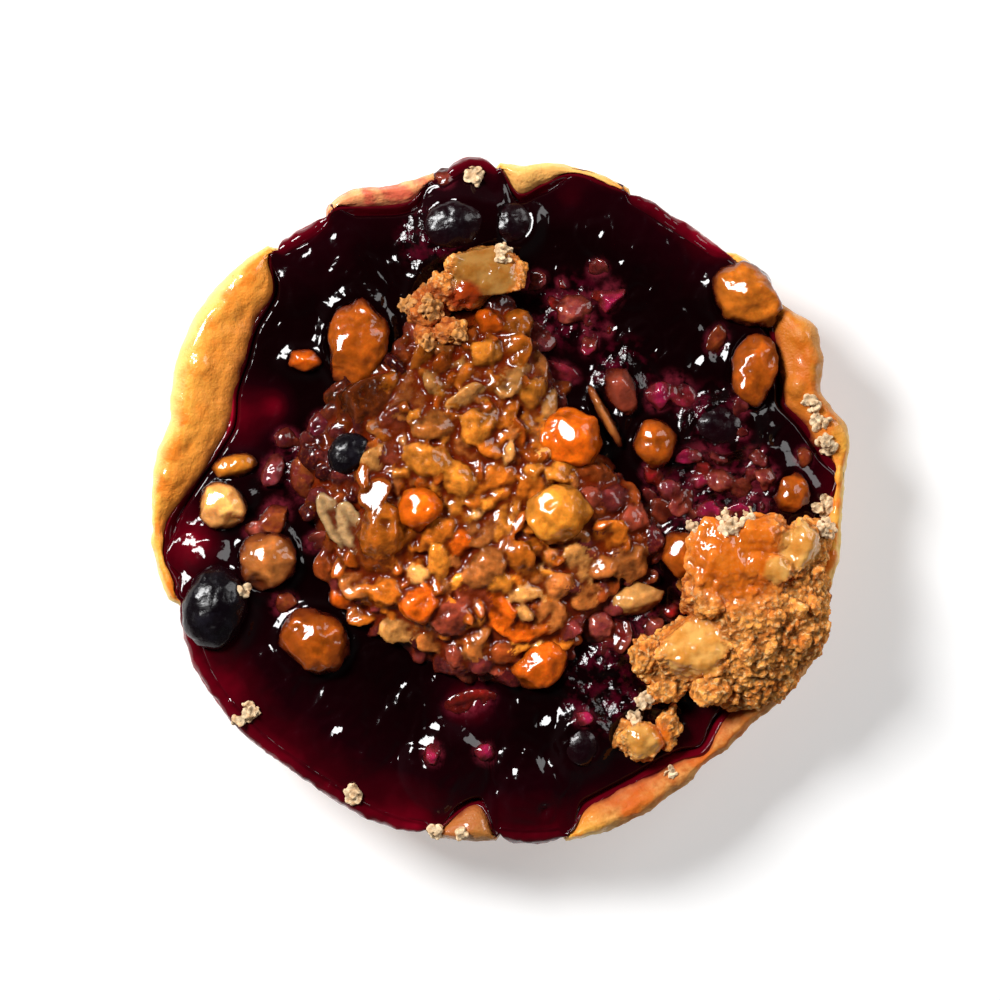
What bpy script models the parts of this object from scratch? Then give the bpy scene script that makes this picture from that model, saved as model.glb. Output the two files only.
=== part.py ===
"""A round berry crumble tart: a hand-pressed pastry shell, a thick berry jam that has run over the
rim in places, a heap of oat and nut crumble in the middle, and nuggets, nuts and berries on the jam.

The origin is the centre of the flat base, +Z is up and the tart is 100 mm across.
Lengths below are in millimetres and angles in degrees, counted from +X towards +Y."""

import math
import random

import bmesh
import bpy
from mathutils import Matrix, Vector, noise
from mathutils.bvhtree import BVHTree

MM = 0.001
GAP = 0.3  # between pieces that rest on each other
SLIVER = 0.01  # edges shorter than this are closed up
STEPS = 84  # sections round the tart
HEAP_STEPS = 44

# Pastry shell
FLOOR = 4.0  # thickness of the base
BASE_INSET = 7.4  # how much narrower the base is than the rim, each side
WALL = 8.0  # thickness of the wall, half way up
RIM_LOW = 16.0  # height of the rim where the jam has run over it
RIM_RISE = 0.36  # extra height for each millimetre of rim that is bare
WIDEST_BARE = 9.0
RIM_ROLL = 1.8  # how far the outer edge turns down from the crest

# Radius of the tart's outline, at angles all round
OUTLINE = [
    (0, 49.1), (6, 50.0), (11, 51.0), (16, 49.4), (19, 48.8), (24, 50.6), (29, 51.5), (35, 49.4), (42, 49.6),
    (50, 48.4), (58, 48.1), (66, 48.5), (74, 49.2), (82, 48.9), (88, 48.2), (95, 49.6), (101, 47.9), (108, 47.6),
    (117, 49.3), (125, 48.3), (133, 49.3), (142, 50.6), (150, 50.8), (158, 50.2), (165, 48.6), (172, 49.4),
    (180, 50.0), (190, 50.1), (199, 49.3), (210, 50.2), (222, 49.9), (236, 49.2), (250, 49.8), (260, 49.4),
    (268, 49.0), (276, 49.7), (284, 49.9), (294, 49.4), (306, 48.3), (317, 48.2), (328, 50.2), (336, 50.0),
    (344, 48.8), (352, 49.1),
]

# Width of rim left bare between the outline and the jam. Below zero the jam has run over the rim.
BARE_RIM = [
    (1, 1.6), (5, 1.4), (11, 5.0), (15, 5.2), (21, 6.0), (28, 6.6), (34, 3.2), (42, 2.6), (47, 0.2), (51, -1.0),
    (57, -0.7), (63, -0.9), (67, -0.4), (71, 1.0), (78, 1.2), (82, 3.2), (86, 4.4), (89, 2.6), (91, -0.8),
    (95, -2.4), (99, -1.4), (102, 0.8), (106, 2.7), (113, 3.0), (119, 1.6), (122, -0.4), (127, -1.1),
    (131, -0.8), (134, 2.4), (138, 6.0), (145, 7.6), (152, 9.0), (160, 9.0), (167, 8.2), (173, 7.4), (179, 4.9),
    (184, 2.4), (190, 1.4), (195, 1.8), (198, -0.3), (204, -1.2), (212, -0.7), (221, -1.5), (230, -0.8),
    (240, -1.3), (250, -0.9), (257, -0.5), (261, 3.0), (265, 5.1), (268, 4.2), (270, -0.6), (275, -2.4),
    (279, -1.8), (282, 1.6), (286, 4.0), (297, 4.3), (305, 3.0), (309, 1.7), (315, 3.0), (324, 3.7), (338, 4.0),
    (348, 3.4), (356, 2.4),
]

# Berry jam
JAM_LEVEL = 16.1
JAM_BEAD = 0.9  # how far the jam's rounded edge stands up from the pastry
JAM_FILM = 1.0  # thickness of the jam that has run over the rim
RUN_START = 2.4  # shortest run of jam down the outside of the rim
RUN_GROWTH = 3.0  # extra run for each millimetre that the jam reaches past the rim
JAM_RINGS = (0.88, 0.74, 0.58, 0.4)  # shares of the radius where the jam's top is shaped
# Swells where fruit lies under the jam: (x, y, radius, height)
SWELLS = [
    (-8.0, -38.0, 6.5, 1.5), (-22.0, -33.0, 9.0, 0.8), (4.5, -42.0, 5.0, 1.0), (-6.0, 40.0, 7.0, 1.0),
    (-22.0, 31.0, 8.0, 0.8), (20.0, 34.0, 10.0, 0.9), (26.0, 21.0, 6.0, 0.7), (31.0, 10.0, 6.0, 0.8),
    (-34.0, 14.0, 6.0, -0.7), (12.0, -33.0, 6.0, 0.6), (-40.0, -25.0, 6.0, -0.4), (38.0, 6.0, 5.0, 0.5),
]

# Heap of crumble in the middle: its centre, its height over the jam, and its reach at angles all round
HEAP_CENTRE = (-3.5, 1.5)
HEAP_HEIGHT = 4.2
HEAP_REACH = [
    (0, 21.0), (20, 16.5), (42, 16.0), (60, 20.5), (78, 25.0), (96, 25.5), (116, 23.0), (140, 23.5), (160, 24.0),
    (182, 23.5), (204, 22.5), (226, 24.0), (246, 24.0), (262, 25.5), (280, 27.0), (296, 26.5), (312, 25.0),
    (330, 26.5), (346, 25.5),
]
HEAP_RINGS = ((1.0, 0.0), (0.93, 0.48), (0.74, 0.8), (0.48, 0.96), (0.2, 1.0))  # share of reach, share of height

MORE_FACES = (6.0, 20.0)  # lumps longer than these get more faces

# Whole toppings: name, x, y, length, width, rise over what it lies on, turn, roughness
NUGGETS = [
    ("nugget_golden", 10.0, 8.7, 10.2, 9.4, 5.2, 80, 0.16),
    ("nugget_glazed", 8.2, -2.0, 9.4, 8.8, 4.6, 20, 0.14),
    ("nugget_orange", -11.3, -1.3, 6.9, 6.6, 4.0, 0, 0.12),
    ("nugget_left", -40.0, -0.8, 7.8, 6.8, 4.6, -20, 0.12),
    ("nugget_right", 25.8, -7.9, 7.6, 6.0, 4.4, 80, 0.10),
    ("lump_left", -33.2, -8.6, 9.2, 8.0, 4.0, 70, 0.20),
    ("lump_lower_left", -26.3, -20.0, 10.8, 9.0, 4.6, -40, 0.16),
    ("lump_upper_left", -20.6, 22.4, 12.6, 9.0, 3.8, 68, 0.22),
    ("lump_bottom", 5.6, -23.4, 9.4, 7.4, 3.8, 40, 0.20),
    ("lump_mid_right", 22.2, 8.2, 7.4, 5.8, 4.0, 100, 0.18),
    ("lump_rim", 35.2, 29.4, 10.6, 8.4, 4.6, -40, 0.18),
    ("lump_right", 36.2, 18.2, 11.4, 6.6, 3.8, 74, 0.16),
    ("lump_edge", 42.0, 1.0, 6.4, 5.0, 3.2, 60, 0.20),
    ("nut_rosy", 17.4, 15.6, 7.4, 4.4, 3.0, -64, 0.14),
    ("nut_pale", 19.7, -13.9, 8.0, 4.8, 3.0, 20, 0.18),
    ("oat_left", -38.1, 4.9, 6.8, 3.4, 2.6, 14, 0.08),
    ("oat_upper_left", -28.0, 20.0, 5.4, 3.6, 2.4, -8, 0.10),
    ("oat_shard", 15.0, 12.0, 10.6, 1.4, 2.6, -62, 0.06),
]

# Berries: name, x, y, length, width, rise, turn
BERRIES = [
    ("berry_left", -40.8, -15.4, 12.4, 9.6, 5.0, 78),
    ("berry_top", -6.6, 39.4, 9.4, 7.6, 2.4, 10),
    ("berry_top_right", 1.6, 39.6, 6.8, 6.4, 1.8, 0),
    ("berry_heap", -21.4, 6.6, 7.0, 6.0, 2.2, 40),
    ("berry_low_right", 11.8, -35.2, 6.4, 5.4, 2.2, 70),
    ("berry_right", 31.4, 10.6, 8.6, 6.8, 1.8, -10),
]

# Crumble clumps, each joined from lumps: x, y, length, width, rise, turn, roughness
CLUMPS = {
    "crumble_big": [
        (37.4, -16.8, 23.0, 19.0, 7.4, 58, 0.10), (27.1, -21.8, 12.6, 10.6, 5.4, 10, 0.14),
        (33.8, -8.4, 9.6, 8.6, 5.6, 60, 0.14), (43.4, -7.4, 10.4, 7.4, 6.0, 74, 0.16),
        (36.6, -25.4, 14.0, 8.6, 4.8, 16, 0.14), (30.4, -14.6, 9.0, 6.4, 5.0, 60, 0.16),
    ],
    "crumble_top": [
        (-4.6, 30.9, 8.8, 7.8, 4.6, 30, 0.14), (-10.2, 28.0, 7.0, 5.6, 4.0, 60, 0.20),
        (-7.0, 24.2, 4.6, 3.8, 3.2, 30, 0.24), (-10.6, 23.4, 3.6, 5.2, 3.0, 10, 0.16),
    ],
    "crumble_small": [
        (19.6, -34.0, 6.4, 5.4, 3.4, 0, 0.16), (24.0, -32.6, 3.4, 7.2, 3.2, -6, 0.14),
        (17.4, -34.2, 3.6, 3.0, 2.4, 0, 0.20),
    ],
}
CRAGS = 16  # crumbs that stand out of the big clump's dry side
CRAG_SIDE = (37.5, -16.8, 12.0)  # centre and reach of that side

HEAP_BITS = 62
HEAP_BIT_LENGTHS = (8.2, 4.6)  # from the first, largest bits to the last
JAM_BITS = 26
JAM_BIT_LENGTHS = (5.0, 2.8)
# Where stained bits lie in the jam: (x, y, radius)
JAM_BIT_FIELDS = [
    (30.0, 2.5, 10.5), (9.5, 27.0, 6.5), (17.0, 20.0, 6.0), (-27.5, 5.5, 6.5), (-30.0, 11.0, 3.5), (16.5, -18.5, 5.0),
    (14.5, -30.0, 6.0),
]


def around(pairs, angle):
    """The value at an angle, on a smooth closed curve through (angle, value) pairs."""
    count = len(pairs)
    after = next((i for i, (a, _) in enumerate(pairs) if a > angle), count)

    def pair(i):
        turns, place = divmod(i, count)
        return pairs[place][0] + 360 * turns, pairs[place][1]

    (a0, v0), (a1, v1), (a2, v2), (a3, v3) = (pair(after + k) for k in (-2, -1, 0, 1))
    span = a2 - a1
    t = (angle - a1) / span
    slope1 = (v2 - v0) / (a2 - a0) * span
    slope2 = (v3 - v1) / (a3 - a1) * span
    return (
        v1 * (2 * t**3 - 3 * t**2 + 1)
        + slope1 * (t**3 - 2 * t**2 + t)
        + v2 * (3 * t**2 - 2 * t**3)
        + slope2 * (t**3 - t**2)
    )


def clamp(value, low, high):
    return max(low, min(high, value))


def blend(a, b, share):
    return a + (b - a) * share


def run_over(angle):
    """0 where the rim is bare, 1 where the jam covers it."""
    t = clamp(0.5 - around(BARE_RIM, angle) / 1.2, 0, 1)
    return t * t * (3 - 2 * t)


def rim(angle):
    """The shell's outer radius, the radius of its crest, where the jam meets it, and its height."""
    bare = around(BARE_RIM, angle)
    radius = around(OUTLINE, angle) - JAM_FILM * run_over(angle)
    width = clamp(bare, 1.2, WIDEST_BARE)
    crest = radius - clamp(0.36 * width, 1.0, 3.2)
    height = RIM_LOW + RIM_RISE * clamp(bare, 0, WIDEST_BARE)
    return radius, crest, radius - width, height


def wall_radius(radius, height, z):
    """The outer wall's radius at a height: it flares from the base to the rim."""
    share = clamp(z / (height - RIM_ROLL), 0, 1)
    return radius - BASE_INSET * (1 - share) ** 1.35


def crust_section(angle, swell=0.0):
    radius, crest, edge, height = rim(angle)
    inner = min(radius - WALL, edge - 1.4)
    edge_z = JAM_LEVEL - JAM_BEAD
    outer = [(wall_radius(radius, height, share * height), share * height) for share in (0.12, 0.55)]
    section = [
        (0, 0), (radius - BASE_INSET, 0), *outer, (radius, height - RIM_ROLL),
        (blend(radius, crest, 0.45), height - 0.3), (crest, height),
        (blend(crest, edge, 0.55), blend(height, edge_z, 0.36)), (edge, edge_z),
        (inner, 9.5), (inner - 2.2, 5.6), (inner - 5.5, FLOOR), (0, FLOOR),
    ]
    return swollen(section, swell)


def relief(x, y):
    """How far the jam's top stands over its level: swells of fruit, and slow waves."""
    height = 0.35 * noise.noise(Vector((x / 9, y / 9, 3.7)))
    for cx, cy, reach, rise in SWELLS:
        height += rise * math.exp(-((x - cx) ** 2 + (y - cy) ** 2) / (0.5 * reach * reach))
    return height


def jam_section(angle, swell=0.0):
    """The jam, with its edge and lower side inside the pastry that then trims it."""
    _, crest, edge, height = rim(angle)
    shell = crust_section(angle)
    over = run_over(angle)
    turn = math.radians(angle)
    inner = shell[9][0]
    run = RUN_START + RUN_GROWTH * max(0, -around(BARE_RIM, angle))
    tip_r = wall_radius(shell[4][0], height, height - run)
    film = swollen(shell, JAM_FILM)
    section = [(0, 1.8), (inner - 5.4, 1.8), (inner + 2.2, 8.4)]
    shown = [(tip_r - 1.8, height - run), (tip_r + 0.7 * JAM_FILM, height - run - 0.4), *film[4:7]]
    for k, (r, z) in enumerate(shown):
        sunk_z = JAM_LEVEL - JAM_BEAD - 1.5 + 0.3 * k
        section.append((blend(edge + 1.0, r, over), blend(sunk_z, z, over)))
    lip = blend(edge - 1.2, crest - 1.4, over)
    section.append((lip, blend(JAM_LEVEL - 0.15, height + 0.7 * JAM_FILM, over)))
    for share in JAM_RINGS:
        r = share * (lip - 1.0) / JAM_RINGS[0] * 0.95
        hump = relief(r * math.cos(turn), r * math.sin(turn))
        section.append((r, JAM_LEVEL + hump + 0.5 * over * share**6))
    section.append((0, JAM_LEVEL + relief(0, 0)))
    return swollen(section, swell)


def heap_section(angle, swell=0.0):
    reach = around(HEAP_REACH, angle)
    section = [(0, JAM_LEVEL - 4), (reach, JAM_LEVEL - 4)]
    section += [(share * reach, JAM_LEVEL + HEAP_HEIGHT * up) for share, up in HEAP_RINGS]
    section.append((0, JAM_LEVEL + HEAP_HEIGHT))
    return swollen(section, swell)


def swollen(section, swell):
    """The section with each point moved out, square to its neighbours."""
    if not swell:
        return section
    moved = []
    for i, (r, z) in enumerate(section):
        before, after = section[max(i - 1, 0)], section[min(i + 1, len(section) - 1)]
        dr, dz = after[0] - before[0], after[1] - before[1]
        length = math.hypot(dr, dz)
        moved.append((0 if r == 0 else r + swell * dz / length, z - swell * dr / length))
    return moved


def new_object(name, verts, faces, collection):
    mesh = bpy.data.meshes.new(name)
    mesh.from_pydata([Vector(v) * MM for v in verts], [], faces)
    obj = bpy.data.objects.new(name, mesh)
    collection.objects.link(obj)
    return obj


def loft(name, section_at, collection, steps=STEPS, centre=(0, 0), swell=0.0, start=0.0):
    """A closed body with a section at each angle, whose first and last points lie on the axis. It starts
    at a share of the first step."""
    sections = [section_at(360 * (i + start) / steps, swell) for i in range(steps)]
    rings = len(sections[0]) - 2
    verts = []
    for i, section in enumerate(sections):
        turn = 2 * math.pi * (i + start) / steps
        for r, z in section[1:-1]:
            verts.append((centre[0] + r * math.cos(turn), centre[1] + r * math.sin(turn), z))
    bottom, top = len(verts), len(verts) + 1
    verts += [(*centre, sections[0][0][1]), (*centre, sections[0][-1][1])]
    faces = []
    for i in range(steps):
        here, there = i * rings, (i + 1) % steps * rings
        faces.append((bottom, there, here))
        for k in range(rings - 1):
            faces += [(here + k, there + k, there + k + 1), (here + k, there + k + 1, here + k + 1)]
        faces.append((here + rings - 1, there + rings - 1, top))
    return new_object(name, verts, faces, collection)


def ball(name, subdivisions, collection):
    """A ball of radius 1 mm at the origin, from Blender's icosphere."""
    bpy.ops.mesh.primitive_ico_sphere_add(subdivisions=subdivisions, radius=MM)
    obj = bpy.context.object
    obj.name = name
    for holder in list(obj.users_collection):
        holder.objects.unlink(obj)
    collection.objects.link(obj)
    return obj


def shape_lump(obj, place, size, turn, roughness, seed, tilt=(0, 0)):
    """Makes a ball a rough lump of a size, and puts it in its place."""
    offset = Vector((seed * 7.3, seed * 3.1, seed * 5.7))
    for vert in obj.data.vertices:
        way = vert.co.normalized()
        bulge = 1.6 * noise.noise(way * 1.7 + offset) + 0.6 * noise.noise(way * 4 + offset)
        vert.co *= 1 + roughness * bulge
    spin = Matrix.Rotation(math.radians(turn), 4, "Z")
    lean = Matrix.Rotation(tilt[0], 4, "X") @ Matrix.Rotation(tilt[1], 4, "Y")
    stretch = Matrix.Diagonal((*(s / 2 for s in size), 1))
    obj.data.transform(Matrix.Translation(Vector(place) * MM) @ spin @ lean @ stretch)
    return obj


def height_under(trees, x, y):
    """The top of what lies under a place, in millimetres, or None."""
    hits = [tree.ray_cast(Vector((x, y, 60)) * MM, Vector((0, 0, -1)))[0] for tree in trees]
    return max((hit.z / MM for hit in hits if hit), default=None)


def tree_of(obj):
    return BVHTree.FromObject(obj, bpy.context.evaluated_depsgraph_get())


def lay_lump(name, spec, trees, collection, seed):
    x, y, length, width, rise, turn, roughness = spec
    thick = max(1.5 * rise, 0.62 * width)
    z = height_under(trees, x, y) + rise - thick / 2
    detail = 1 + sum(length > size for size in MORE_FACES)
    obj = ball(name, detail, collection)
    return shape_lump(obj, (x, y, z), (length, width, thick), turn, roughness, seed)


def boolean(obj, operation, others, apply=False, solver="EXACT"):
    """Joins or cuts with a collection. Only the last of an object's Booleans can stay live."""
    modifier = obj.modifiers.new(operation.lower(), "BOOLEAN")
    modifier.operation = operation
    modifier.operand_type = "COLLECTION"
    modifier.collection = others
    modifier.solver = solver
    if apply:
        bpy.context.view_layer.objects.active = obj
        bpy.ops.object.modifier_apply(modifier=modifier.name)


def join_all(obj, collection, solver="EXACT"):
    """Fuses a collection's objects into obj and removes them."""
    boolean(obj, "UNION", collection, apply=True, solver=solver)
    for other in list(collection.objects):
        bpy.data.objects.remove(other)
    bpy.data.collections.remove(collection)


def drop_scraps(obj):
    """Keeps an object's largest piece, without the slivers along a cut."""
    shape = bmesh.new()
    shape.from_mesh(obj.data)
    bmesh.ops.dissolve_degenerate(shape, dist=SLIVER * MM, edges=shape.edges)
    pieces, left = [], set(shape.verts)
    while left:
        piece, edge_of = set(), [left.pop()]
        while edge_of:
            vert = edge_of.pop()
            piece.add(vert)
            near = {edge.other_vert(vert) for edge in vert.link_edges} & left
            left -= near
            edge_of += near
        pieces.append(piece)
    pieces.sort(key=len)
    bmesh.ops.delete(shape, geom=[vert for piece in pieces[:-1] for vert in piece], context="VERTS")
    shape.to_mesh(obj.data)
    shape.free()


def new_collection(name, hidden=False):
    collection = bpy.data.collections.new(name)
    bpy.context.scene.collection.children.link(collection)
    collection.hide_render = hidden
    return collection


def material(name, colour, roughness):
    made = bpy.data.materials.new(name)
    made.use_nodes = True
    shader = made.node_tree.nodes["Principled BSDF"]
    shader.inputs["Base Color"].default_value = (*colour, 1)
    shader.inputs["Roughness"].default_value = roughness
    return made


def hide(obj):
    obj.hide_render = True
    obj.display_type = "WIRE"


def scatter(count, lengths, field, seed, clear_of=()):
    """Bits for a field, largest first: (x, y, length, width, thickness, turn, tilt). A new bit keeps its
    distance from those before it, so that they lie side by side, and from round places (x, y, radius)."""
    draw = random.Random(seed)
    bits = []
    tries = 0
    while len(bits) < count and tries < 6000:
        tries += 1
        length = blend(*lengths, len(bits) / count)
        x, y = field(draw)
        free = all(math.hypot(x - cx, y - cy) > r + 0.36 * length for cx, cy, r in clear_of)
        if free and all(math.hypot(x - b[0], y - b[1]) > 0.34 * (length + b[2]) for b in bits):
            width = length * draw.uniform(0.5, 0.78)
            tilt = draw.uniform(-0.3, 0.3), draw.uniform(-0.4, 0.4)
            bits.append((x, y, length, width, width * draw.uniform(0.45, 0.7), draw.uniform(0, 180), tilt))
    return bits


def topping_specs():
    return [spec[1:] for spec in NUGGETS + BERRIES] + [lump for lumps in CLUMPS.values() for lump in lumps]


def heap_place(draw):
    angle = draw.uniform(0, 360)
    r = around(HEAP_REACH, angle) * 0.97 * math.sqrt(draw.random())
    turn = math.radians(angle)
    return HEAP_CENTRE[0] + r * math.cos(turn), HEAP_CENTRE[1] + r * math.sin(turn)


def jam_place(draw):
    x, y, reach = draw.choices(JAM_BIT_FIELDS, [f[2] ** 2 for f in JAM_BIT_FIELDS])[0]
    turn, r = draw.uniform(0, 2 * math.pi), reach * math.sqrt(draw.random())
    return x + r * math.cos(turn), y + r * math.sin(turn)


def crag_place(draw):
    x, y, reach = CRAG_SIDE
    turn, r = draw.uniform(0, 2 * math.pi), reach * math.sqrt(draw.random())
    return x + 0.86 * r * math.cos(turn), y + r * math.sin(turn)


def lay_bits(bits, bed, lift, clear_of, collection):
    """Lays bits half sunk in a bed, leaving out those that would touch other pieces."""
    for i, (x, y, length, width, thick, turn, tilt) in enumerate(bits):
        under = height_under([bed], x, y)
        if under is None:
            continue
        z = under + lift * thick
        for swell, keep in ((1.2, False), (1.0, True)):
            bit = ball(f"bit_{i}", 1, collection)
            size = (length * swell, width * swell, thick * swell + (0 if keep else 1.5))
            shape_lump(bit, (x, y, z), size, turn, 0.1, i, tilt)
            if not keep:
                tree = tree_of(bit)
                touching = any(tree.overlap(other) for other in clear_of)
                bpy.data.objects.remove(bit)
                if touching:
                    break


def build():
    for obj in list(bpy.data.objects):
        bpy.data.objects.remove(obj)
    tart = new_collection("berry_tart")
    carriers = new_collection("carriers", hidden=True)  # swollen copies that trim what rests on them

    pastry = material("baked_pastry", (0.80, 0.42, 0.12), 0.5)
    berry_jam = material("berry_jam", (0.045, 0.003, 0.006), 0.1)
    crumble = material("crumble", (0.56, 0.22, 0.045), 0.35)
    berry_skin = material("berry_skin", (0.012, 0.010, 0.016), 0.25)

    crust = loft("crust", crust_section, tart)
    jam = loft("jam", jam_section, tart, start=0.5)
    shell_cutter = loft("shell_cutter", crust_section, new_collection("shell", hidden=True), swell=GAP)
    hide(shell_cutter)
    boolean(jam, "DIFFERENCE", bpy.data.collections["shell"], apply=True, solver="MANIFOLD")
    crust_tree, jam_tree = tree_of(crust), tree_of(jam)

    heap = loft("crumble_heap", heap_section, tart, HEAP_STEPS, HEAP_CENTRE)
    heap_tree = tree_of(heap)
    hide(loft("crust_swollen", crust_section, carriers, swell=GAP))
    hide(loft("jam_swollen", jam_section, carriers, swell=GAP, start=0.5))
    hide(loft("heap_swollen", heap_section, carriers, HEAP_STEPS, HEAP_CENTRE, GAP))
    jam_only = new_collection("jam_top", hidden=True)
    hide(loft("jam_top_cutter", jam_section, jam_only, swell=GAP, start=0.5))

    beds = [crust_tree, jam_tree, heap_tree]
    toppings = []
    for seed, (name, *spec) in enumerate(NUGGETS):
        toppings.append(lay_lump(name, spec, beds, tart, seed))
    for seed, (name, *spec) in enumerate(BERRIES):
        toppings.append(lay_lump(name, (*spec, 0.04), beds, tart, seed + 40))
    for seed, (name, lumps) in enumerate(CLUMPS.items()):
        first = lay_lump(name, lumps[0], beds, tart, seed + 60)
        others = new_collection("lumps")
        for k, spec in enumerate(lumps[1:]):
            lay_lump(f"{name}_{k}", spec, beds, others, seed + 70 + k)
        join_all(first, others)
        if name == "crumble_big":
            crags = new_collection("crags")
            lay_bits(scatter(CRAGS, (5.0, 2.6), crag_place, 5), tree_of(first), 0.1, [], crags)
            join_all(first, crags)
        toppings.append(first)
    topping_trees = [tree_of(obj) for obj in toppings]

    places = [(spec[0], spec[1], 0.25 * (spec[2] + spec[3])) for spec in topping_specs()]
    bits = new_collection("heap_bits")
    lay_bits(scatter(HEAP_BITS, HEAP_BIT_LENGTHS, heap_place, 11, places), heap_tree, 0.2, topping_trees, bits)
    join_all(heap, bits)
    boolean(heap, "DIFFERENCE", jam_only)

    stained = new_collection("jam_bits")
    clear = [*topping_trees, tree_of(heap), crust_tree]
    places.append((*HEAP_CENTRE, 20))
    lay_bits(scatter(JAM_BITS, JAM_BIT_LENGTHS, jam_place, 23, places), jam_tree, 0.05, clear, stained)
    join_all(jam, stained, solver="MANIFOLD")
    drop_scraps(jam)

    for obj in toppings:
        boolean(obj, "DIFFERENCE", carriers)
        obj.data.materials.append(berry_skin if obj.name.startswith("berry") else crumble)
    crust.data.materials.append(pastry)
    jam.data.materials.append(berry_jam)
    heap.data.materials.append(crumble)
    for obj in tart.objects:
        obj.data.shade_smooth()
        obj.data.set_sharp_from_angle(angle=math.radians(35))


build()
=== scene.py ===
"""A berry crumble tart seen from above: the baked shell, the jam that has run over its rim, the syrupy
heap of oats and crumble, and the nuggets, nuts, berries and crumbs that lie on the jam.

Places and sizes below are in millimetres from the middle of the flat base. Angles are in degrees,
anticlockwise from the right."""

import math
import random

import bpy
import numpy as np
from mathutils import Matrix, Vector, noise
from mathutils.kdtree import KDTree


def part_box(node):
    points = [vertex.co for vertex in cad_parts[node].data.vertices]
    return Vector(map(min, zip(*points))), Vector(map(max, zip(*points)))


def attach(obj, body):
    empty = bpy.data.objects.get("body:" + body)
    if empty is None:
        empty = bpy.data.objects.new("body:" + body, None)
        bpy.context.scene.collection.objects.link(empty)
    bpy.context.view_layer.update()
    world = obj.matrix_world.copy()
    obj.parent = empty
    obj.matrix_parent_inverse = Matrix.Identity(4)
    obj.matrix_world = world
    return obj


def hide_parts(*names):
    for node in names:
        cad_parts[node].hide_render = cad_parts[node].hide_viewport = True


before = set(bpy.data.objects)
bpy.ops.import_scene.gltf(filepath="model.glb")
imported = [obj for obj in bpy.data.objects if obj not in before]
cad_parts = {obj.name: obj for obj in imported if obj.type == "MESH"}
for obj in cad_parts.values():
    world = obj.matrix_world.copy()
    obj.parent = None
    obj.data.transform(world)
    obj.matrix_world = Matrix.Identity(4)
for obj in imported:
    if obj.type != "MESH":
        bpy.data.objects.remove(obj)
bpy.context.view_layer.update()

MM = 0.001

# How far the shell reaches from the middle: angle, radius
OUTLINE = [
    (0, 49.1), (6, 50.0), (11, 51.0), (16, 49.4), (19, 48.8), (24, 50.6), (29, 51.5), (35, 49.4),
    (42, 49.6), (50, 48.4), (58, 48.1), (66, 48.5), (74, 49.2), (82, 48.9), (88, 48.2), (95, 49.6),
    (101, 47.9), (108, 47.6), (117, 49.3), (125, 48.3), (133, 49.3), (142, 50.6), (150, 50.8),
    (158, 50.2), (165, 48.6), (172, 49.4), (180, 50.0), (190, 50.1), (199, 49.3), (210, 50.2),
    (222, 49.9), (236, 49.2), (250, 49.8), (260, 49.4), (268, 49.0), (276, 49.7), (284, 49.9),
    (294, 49.4), (306, 48.3), (317, 48.2), (328, 50.2), (336, 50.0), (344, 48.8), (352, 49.1),
]
# How much of the rim is bare of jam: angle, width, below 0 where jam has run over it
BARE_RIM = [
    (1, 1.6), (5, 1.4), (11, 5.0), (15, 5.2), (21, 6.0), (28, 6.6), (34, 3.2), (42, 2.6), (47, 0.2),
    (51, -1.0), (57, -0.7), (63, -0.9), (66.5, -0.4), (69, 1.3), (78, 1.5), (82, 3.2), (86, 4.4),
    (89, 2.6), (91, -0.8), (95, -2.4), (99, -1.4), (102, 0.8), (106, 2.7), (113, 3.0), (119, 1.6),
    (122, -0.4), (127, -1.1), (131, -0.8), (134, 2.4), (138, 6.0), (145, 7.6), (152, 9.0),
    (160, 9.0), (167, 8.2), (173, 7.4), (179, 4.9), (184, 2.4), (190, 1.4), (195, 1.8), (198, -0.3),
    (204, -1.2), (212, -0.7), (221, -1.5), (230, -0.8), (240, -1.3), (250, -0.9), (257, -0.5),
    (261, 3.0), (265, 5.1), (268, 4.2), (270, -0.6), (275, -2.4), (279, -1.8), (282, 1.6),
    (286, 4.0), (297, 4.3), (305, 3.0), (309, 1.7), (315, 3.0), (324, 3.7), (338, 4.0), (348, 3.4),
    (356, 2.4),
]
# How far the heap reaches from its middle: angle, radius
HEAP_REACH = [
    (0, 21.0), (20, 16.5), (42, 16.0), (60, 20.5), (78, 25.0), (96, 25.5), (116, 23.0), (140, 23.5),
    (160, 24.0), (182, 23.5), (204, 22.5), (226, 24.0), (246, 24.0), (262, 25.5), (280, 27.0),
    (296, 26.5), (312, 25.0), (330, 26.5), (346, 25.5),
]
HEAP_CENTRE = (-3.5, 1.5)
HEAP_HEIGHT = 4.0
# How high the jam stands in the shell
JAM_LEVEL = 16.1


def around(pairs, angle):
    """A smooth closed curve through (angle, value) pairs, read at one angle or an array of them."""
    angles = np.array([a for a, _ in pairs], float)
    values = np.array([v for _, v in pairs], float)
    angles = np.concatenate([angles[-2:] - 360, angles, angles[:3] + 360])
    values = np.concatenate([values[-2:], values, values[:3]])
    angle = np.mod(angle, 360)
    i = np.clip(np.searchsorted(angles, angle, side="right") - 1, 1, len(angles) - 3)
    span = angles[i + 1] - angles[i]
    t = (angle - angles[i]) / span
    slope_in = (values[i + 1] - values[i - 1]) / (angles[i + 1] - angles[i - 1]) * span
    slope_out = (values[i + 2] - values[i]) / (angles[i + 2] - angles[i]) * span
    return (
        values[i] * (2 * t**3 - 3 * t**2 + 1)
        + slope_in * (t**3 - 2 * t**2 + t)
        + values[i + 1] * (3 * t**2 - 2 * t**3)
        + slope_out * (t**3 - t**2)
    )


def ease(value):
    """0 below 0, 1 above 1 and a smooth rise between."""
    value = np.clip(value, 0, 1)
    return value * value * (3 - 2 * value)


def mixed(a, b, share):
    """The first value where the share is 0 and the second where it is 1."""
    return a + (b - a) * share


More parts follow.
